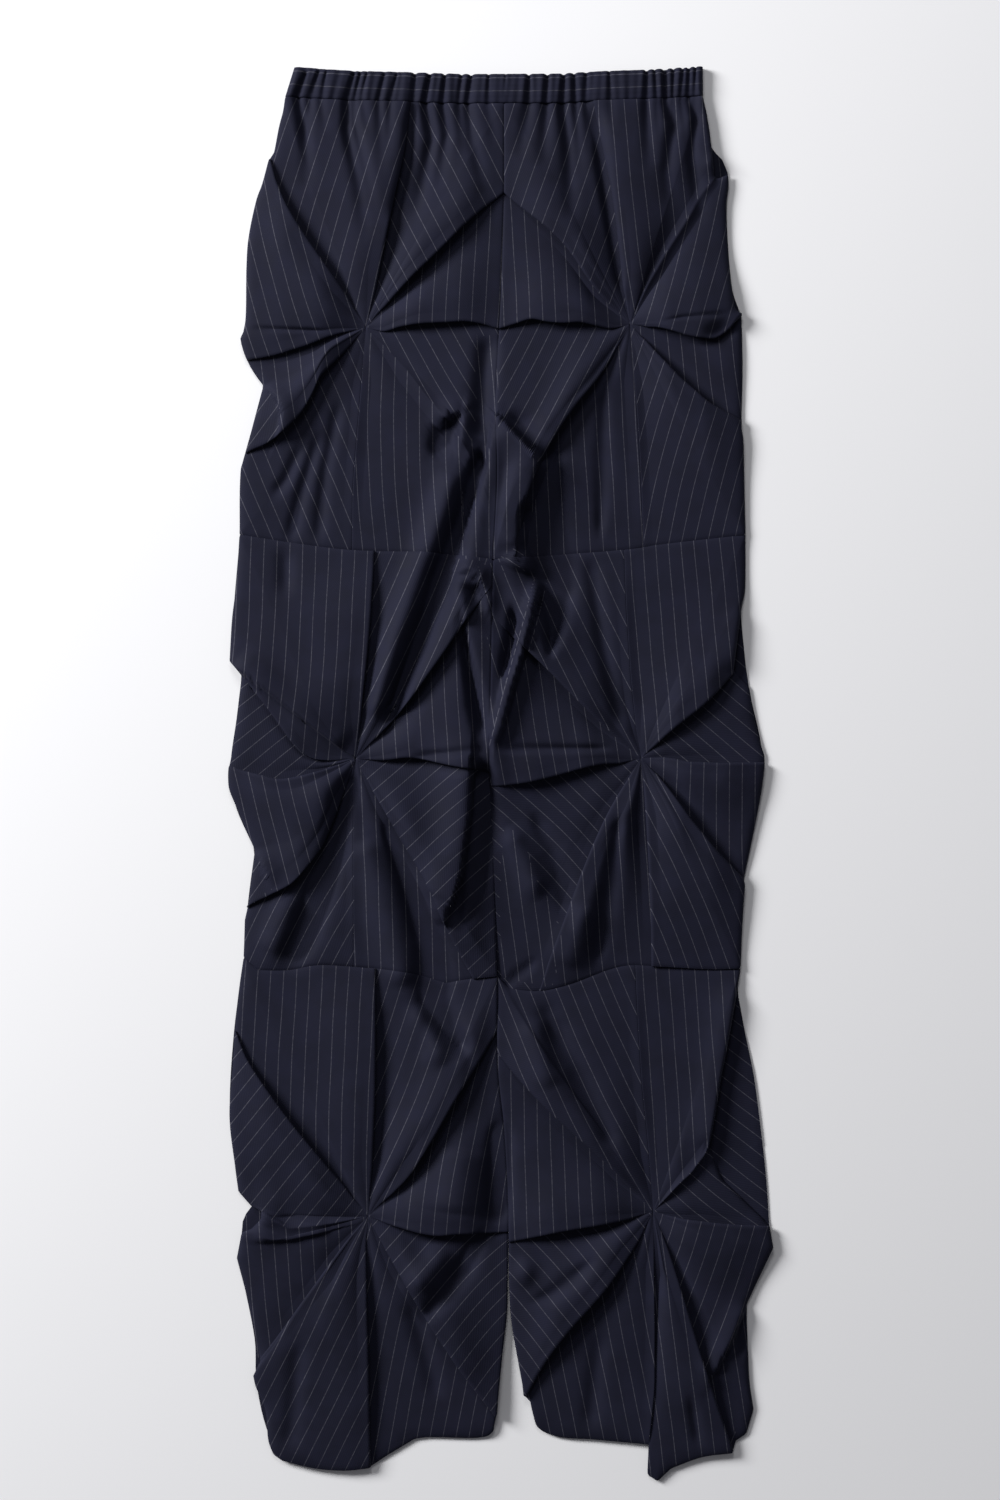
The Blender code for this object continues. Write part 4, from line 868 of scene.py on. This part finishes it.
def thicken(name, data):
    """The mesh as a smooth object, with half the cloth's thickness on each side of it."""
    thing = bpy.data.objects.new(name, data)
    bpy.context.collection.objects.link(thing)
    data.polygons.foreach_set("use_smooth", [True] * len(data.polygons))
    solid = thing.modifiers.new("thickness", "SOLIDIFY")
    solid.thickness = CLOTH
    solid.offset = 0.0
    return thing


def panel(name, tier, first, last, material, is_back=False):
    """One panel of a tier, from tuck first to tuck last."""
    grid, facets = fan(tier, first, last)
    points = np.vstack(([[*tier.centre, FRONT_RISE]], grid.reshape(-1, 3)))
    if is_back:
        press_back(points)
    else:
        shape_front(points)
    tip, quads = sheet_faces(*grid.shape[:2])
    uvs = stripe_uvs(tier.name, facets[1:], points, tip, quads, BACK_ZONES if is_back else ZONES)
    faces = [tuple(face)[::-1] for face in tip.tolist() + quads.tolist()]
    data = cloth_mesh(name, points, faces, uvs, material)
    merge(data)
    thing = thicken(name, data)
    thing.modifiers["thickness"].use_even_offset = False
    even = thing.modifiers.new("normals", "WEIGHTED_NORMAL")
    even.weight = 100
    return thing


def band_rings(foot, heights):
    """The band's points, ring by ring up: front layer, right end, back layer and left end."""
    steps = run_along(foot)
    low = BAND_WALL / 2
    middle = (low + BAND_RISE) / 2
    turn = (BAND_RISE - low) / 2
    span = steps[-1] - 2 * turn
    front = on_row(foot, steps, turn + span * np.linspace(0.0, 1.0, BAND_FRONT_COLUMNS))
    back = on_row(foot, steps, turn + span * np.linspace(1.0, 0.0, BAND_BACK_COLUMNS))
    right = on_row(foot, steps, steps[-1] - turn)
    left = on_row(foot, steps, turn)
    end = np.linspace(0.5, -0.5, BAND_END_COLUMNS)[1:-1]

    def slide(row, slope):
        return slope * ((right[0] - row[:, 0]) / (right[0] - left[0])) ** 2

    def turned(side, way, slope, up):
        angle = way * end * math.pi
        x = side[0] + slope + way * turn * np.cos(angle)
        return np.column_stack((x, np.full(len(end), side[1] + BAND_GAP + up), middle + turn * np.sin(angle)))

    puff = BAND_PUFF * np.sin(front[:, 0] * 640.0) * np.sin(front[:, 0] * 233.0 + 1.0)
    rings = []
    for h in heights:
        up = BAND_HEIGHT * h
        slope = BAND_SLOPE * h
        y = front[:, 1] + BAND_GAP + up
        pull = BAND_DRAW * creased(np.column_stack((front[:, 0], y)))
        y = y + BAND_SCALLOP * pull * smooth(0.5, 1.0, h)
        swell = BAND_SWELL * (4.0 * h * (1.0 - h)) ** 0.6 - BAND_SINK
        swell -= BAND_ROW_DEPTH * abs(math.cos(math.pi * (BAND_ROWS + 0.5) * h)) ** 4 * (0.1 < h < 0.95)
        lean = BAND_LEAN * np.sin(front[:, 0] * 190.0) * (h - 0.4)
        x = front[:, 0] + lean + slide(front, slope)
        rings.append(np.vstack((
            np.column_stack((x, y, BAND_RISE + swell + puff + pull)),
            turned(right, 1.0, 0.0, up),
            np.column_stack((back[:, 0] + slide(back, slope), back[:, 1] + BAND_GAP + up,
                             np.full(len(back), low))),
            turned(left, -1.0, slope, up),
        )))
    return np.array(rings)


def waistband(material):
    """The elasticated band: a flattened tube, its front layer drawn into gathers, open up and down."""
    foot = np.array(line("waist_left") + line("waist_right")[1:])
    heights = np.linspace(0.0, 1.0, 4 * BAND_ROWS + 3)
    rings = band_rings(foot, heights)
    levels, columns = rings.shape[:2]
    around = run_along(rings[0])
    around = np.append(around, around[-1] + np.linalg.norm(rings[0][0] - rings[0][-1]))
    faces = []
    uvs = []
    for j in range(levels - 1):
        for i in range(columns):
            corners = ((j, i), (j, i + 1), (j + 1, i + 1), (j + 1, i))
            faces.append([level * columns + column % columns for level, column in corners])
            for level, column in corners:
                down = (1.0 - heights[level]) * BAND_HEIGHT
                uvs.append(((down - BAND_STRIPE_DROP) / STRIPE_SPACING, around[column] / STRIPE_SPACING))
    data = cloth_mesh("waistband_cloth", rings.reshape(-1, 3), faces, uvs, material)
    return thicken("waistband_cloth", data)


def linear(code):
    """An sRGB hex colour as a linear colour."""
    parts = [int(code[i:i + 2], 16) / 255.0 for i in (1, 3, 5)]
    return [c / 12.92 if c <= 0.04045 else ((c + 0.055) / 1.055) ** 2.4 for c in parts] + [1.0]


def add(tree, kind, links=None, **settings):
    """Adds a node, sets its values by input name or attribute, and links its inputs."""
    node = tree.nodes.new(kind)
    for key, value in settings.items():
        if key in node.bl_rna.properties:
            setattr(node, key, value)
    for key, value in (settings.get("values") or {}).items():
        node.inputs[key].default_value = value
    for key, source in (links or {}).items():
        tree.links.new(source, node.inputs[key])
    return node


def new_material(name, specular):
    """A new material, its node tree and its shader, with the strength of its shine set."""
    material = bpy.data.materials.new(name)
    material.use_nodes = True
    shader = material.node_tree.nodes["Principled BSDF"]
    shader.inputs["Specular IOR Level"].default_value = specular
    return material, material.node_tree, shader


def navy_suiting():
    """Worsted wool suiting, woven as a twill with a pinstripe yarn: matt, and a blue that is nearly black."""
    ground = "#181929"
    material, tree, shader = new_material("navy worsted wool suiting with a pinstripe", 0.14)

    # The stripe's yarn shows 0.55 mm wide and soft-edged. It sinks into the twill, so it is strong and weak
    # by turns, each some 2 mm long
    stripe_half = 0.018
    uv = add(tree, "ShaderNodeUVMap", uv_map="stripe").outputs["UV"]
    parts = add(tree, "ShaderNodeSeparateXYZ", {"Vector": uv})
    whole = add(tree, "ShaderNodeMath", {0: parts.outputs["X"]}, operation="FRACT")
    offset = add(tree, "ShaderNodeMath", {0: whole.outputs[0]}, operation="SUBTRACT", values={1: 0.5})
    away = add(tree, "ShaderNodeMath", {0: offset.outputs[0]}, operation="ABSOLUTE")
    mask = add(tree, "ShaderNodeMapRange", {"Value": away.outputs[0]}, interpolation_type="SMOOTHSTEP",
               values={"From Min": stripe_half, "From Max": stripe_half * 2.0, "To Min": 1.0, "To Max": 0.0})
    broken = add(tree, "ShaderNodeTexNoise", {"Vector": uv}, values={"Scale": 5.0, "Detail": 2.0})
    strength = add(tree, "ShaderNodeMapRange", {"Value": broken.outputs["Fac"]},
                   values={"From Min": 0.35, "From Max": 0.65, "To Min": 0.45, "To Max": 1.0})
    stripe = add(tree, "ShaderNodeMath", {0: mask.outputs[0], 1: strength.outputs[0]}, operation="MULTIPLY")

    # The ground's dye is a little lighter and darker in clouds some 17 mm across
    place = add(tree, "ShaderNodeTexCoord").outputs["Object"]
    cloud = add(tree, "ShaderNodeTexNoise", {"Vector": place}, values={"Scale": 60.0, "Detail": 5.0})
    shades = add(tree, "ShaderNodeValToRGB", {"Fac": cloud.outputs["Fac"]})
    for shade, position, strong in zip(shades.color_ramp.elements, (0.3, 0.7), (0.86, 1.14)):
        shade.position = position
        shade.color = [c * strong for c in linear(ground)[:3]] + [1.0]
    colour = add(tree, "ShaderNodeMixRGB", {"Fac": stripe.outputs[0], "Color1": shades.outputs["Color"]},
                 values={"Color2": linear("#484852")})
    tree.links.new(colour.outputs[0], shader.inputs["Base Color"])

    # A real twill line every 0.5 mm or so is too fine to show, so it is drawn every 1.4 mm. With the nap,
    # some 1.1 mm across, it takes the smoothness off the cloth
    twill = add(tree, "ShaderNodeTexWave", {"Vector": uv}, wave_type="BANDS", bands_direction="DIAGONAL",
                values={"Scale": 3.2, "Distortion": 0.6, "Detail": 2.0, "Detail Scale": 3.0})
    nap = add(tree, "ShaderNodeTexNoise", {"Vector": place}, values={"Scale": 900.0, "Detail": 3.0})
    grain = add(tree, "ShaderNodeMath", {0: twill.outputs["Fac"], 1: nap.outputs["Fac"]}, operation="ADD")
    bump = add(tree, "ShaderNodeBump", {"Height": grain.outputs[0]},
               values={"Strength": 0.18, "Distance": 0.0003})
    tree.links.new(bump.outputs[0], shader.inputs["Normal"])

    # Wool scatters light widely and has a faint bluish bloom at a low angle
    rough = add(tree, "ShaderNodeMapRange", {"Value": cloud.outputs["Fac"]},
                values={"To Min": 0.72, "To Max": 0.88})
    tree.links.new(rough.outputs[0], shader.inputs["Roughness"])
    shader.inputs["Sheen Weight"].default_value = 0.03
    shader.inputs["Sheen Roughness"].default_value = 0.45
    shader.inputs["Sheen Tint"].default_value = linear("#8c90a8")
    return material


def white_board():
    """Board rolled with white paint: even and matt, so that only the cloth's own soft shadow marks it."""
    material, _, shader = new_material("white painted board", 0.2)
    shader.inputs["Roughness"].default_value = 0.9
    shader.inputs["Base Color"].default_value = linear("#f4f4f6")
    return material


def area_light(name, place, aim, size, power):
    """A round soft light, turned to shine at a point."""
    data = bpy.data.lights.new(name, "AREA")
    data.shape = "DISK"
    data.size = size
    data.energy = power
    light = bpy.data.objects.new(name, data)
    bpy.context.collection.objects.link(light)
    light.location = place
    x, y, z = np.array(aim) - np.array(place)
    light.rotation_euler = (math.atan2(math.hypot(x, y), -z), 0.0, math.atan2(y, x) - math.pi / 2)


def camera_above():
    """The camera straight above the garment, with the waist at the top of its picture."""
    data = bpy.data.cameras.new("camera")
    data.lens = LENS
    data.sensor_width = SENSOR
    camera = bpy.data.objects.new("camera", data)
    bpy.context.collection.objects.link(camera)
    camera.location = (FIELD_X, FIELD_Y, FIELD_HEIGHT * LENS / SENSOR)
    bpy.context.scene.camera = camera


def laid(piece, node):
    """Ties a piece to the body, and hides the part of model.glb that it stands for."""
    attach(piece, "root")
    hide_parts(node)


def back_line(name):
    """The back's own line for a front one, where it has one."""
    if "outer" in name:
        return name.replace("outer", "back")
    return name.replace("hem", "back_hem")


camera_above()

# Cloth
suiting = navy_suiting()
for leg in ("left", "right"):
    for number in ("1", "2", "3"):
        tier_name = leg + "_" + number
        back_name = "back_" + tier_name
        tier = Tier(tier_name, step=WAIST_STEP if number == "1" else RIM_STEP)
        east, west = ("inner", "outer") if leg == "left" else ("outer", "inner")
        for part, first, last in ((east, 0, 4), (west, 4, 8)):
            node = "front_" + tier_name + "_" + part
            laid(panel(node + "_cloth", tier, first, last, suiting), node)
        back_lines = [back_line(name) for name in TIERS[tier_name][2:]]
        back = Tier(tier_name, back_lines, 0.0, BACK_STEP, BACK_LEVELS)
        laid(panel(back_name + "_cloth", back, 0, STAR, suiting, is_back=True), back_name)
laid(waistband(suiting), "waistband")

# Table and light
bpy.ops.mesh.primitive_plane_add(size=TABLE_SIZE, location=(0.0, 0.0, TABLE_TOP))
table = bpy.context.object
table.name = "table"
table.data.materials.append(white_board())
for name, light in LIGHTS.items():
    area_light(name, *light)
world = bpy.data.worlds.new("studio")
bpy.context.scene.world = world
world.use_nodes = True
world.node_tree.nodes["Background"].inputs["Color"].default_value = linear("#f4f4fc")
world.node_tree.nodes["Background"].inputs["Strength"].default_value = ROOM_LIGHT
bpy.context.scene.view_settings.view_transform = "Standard"
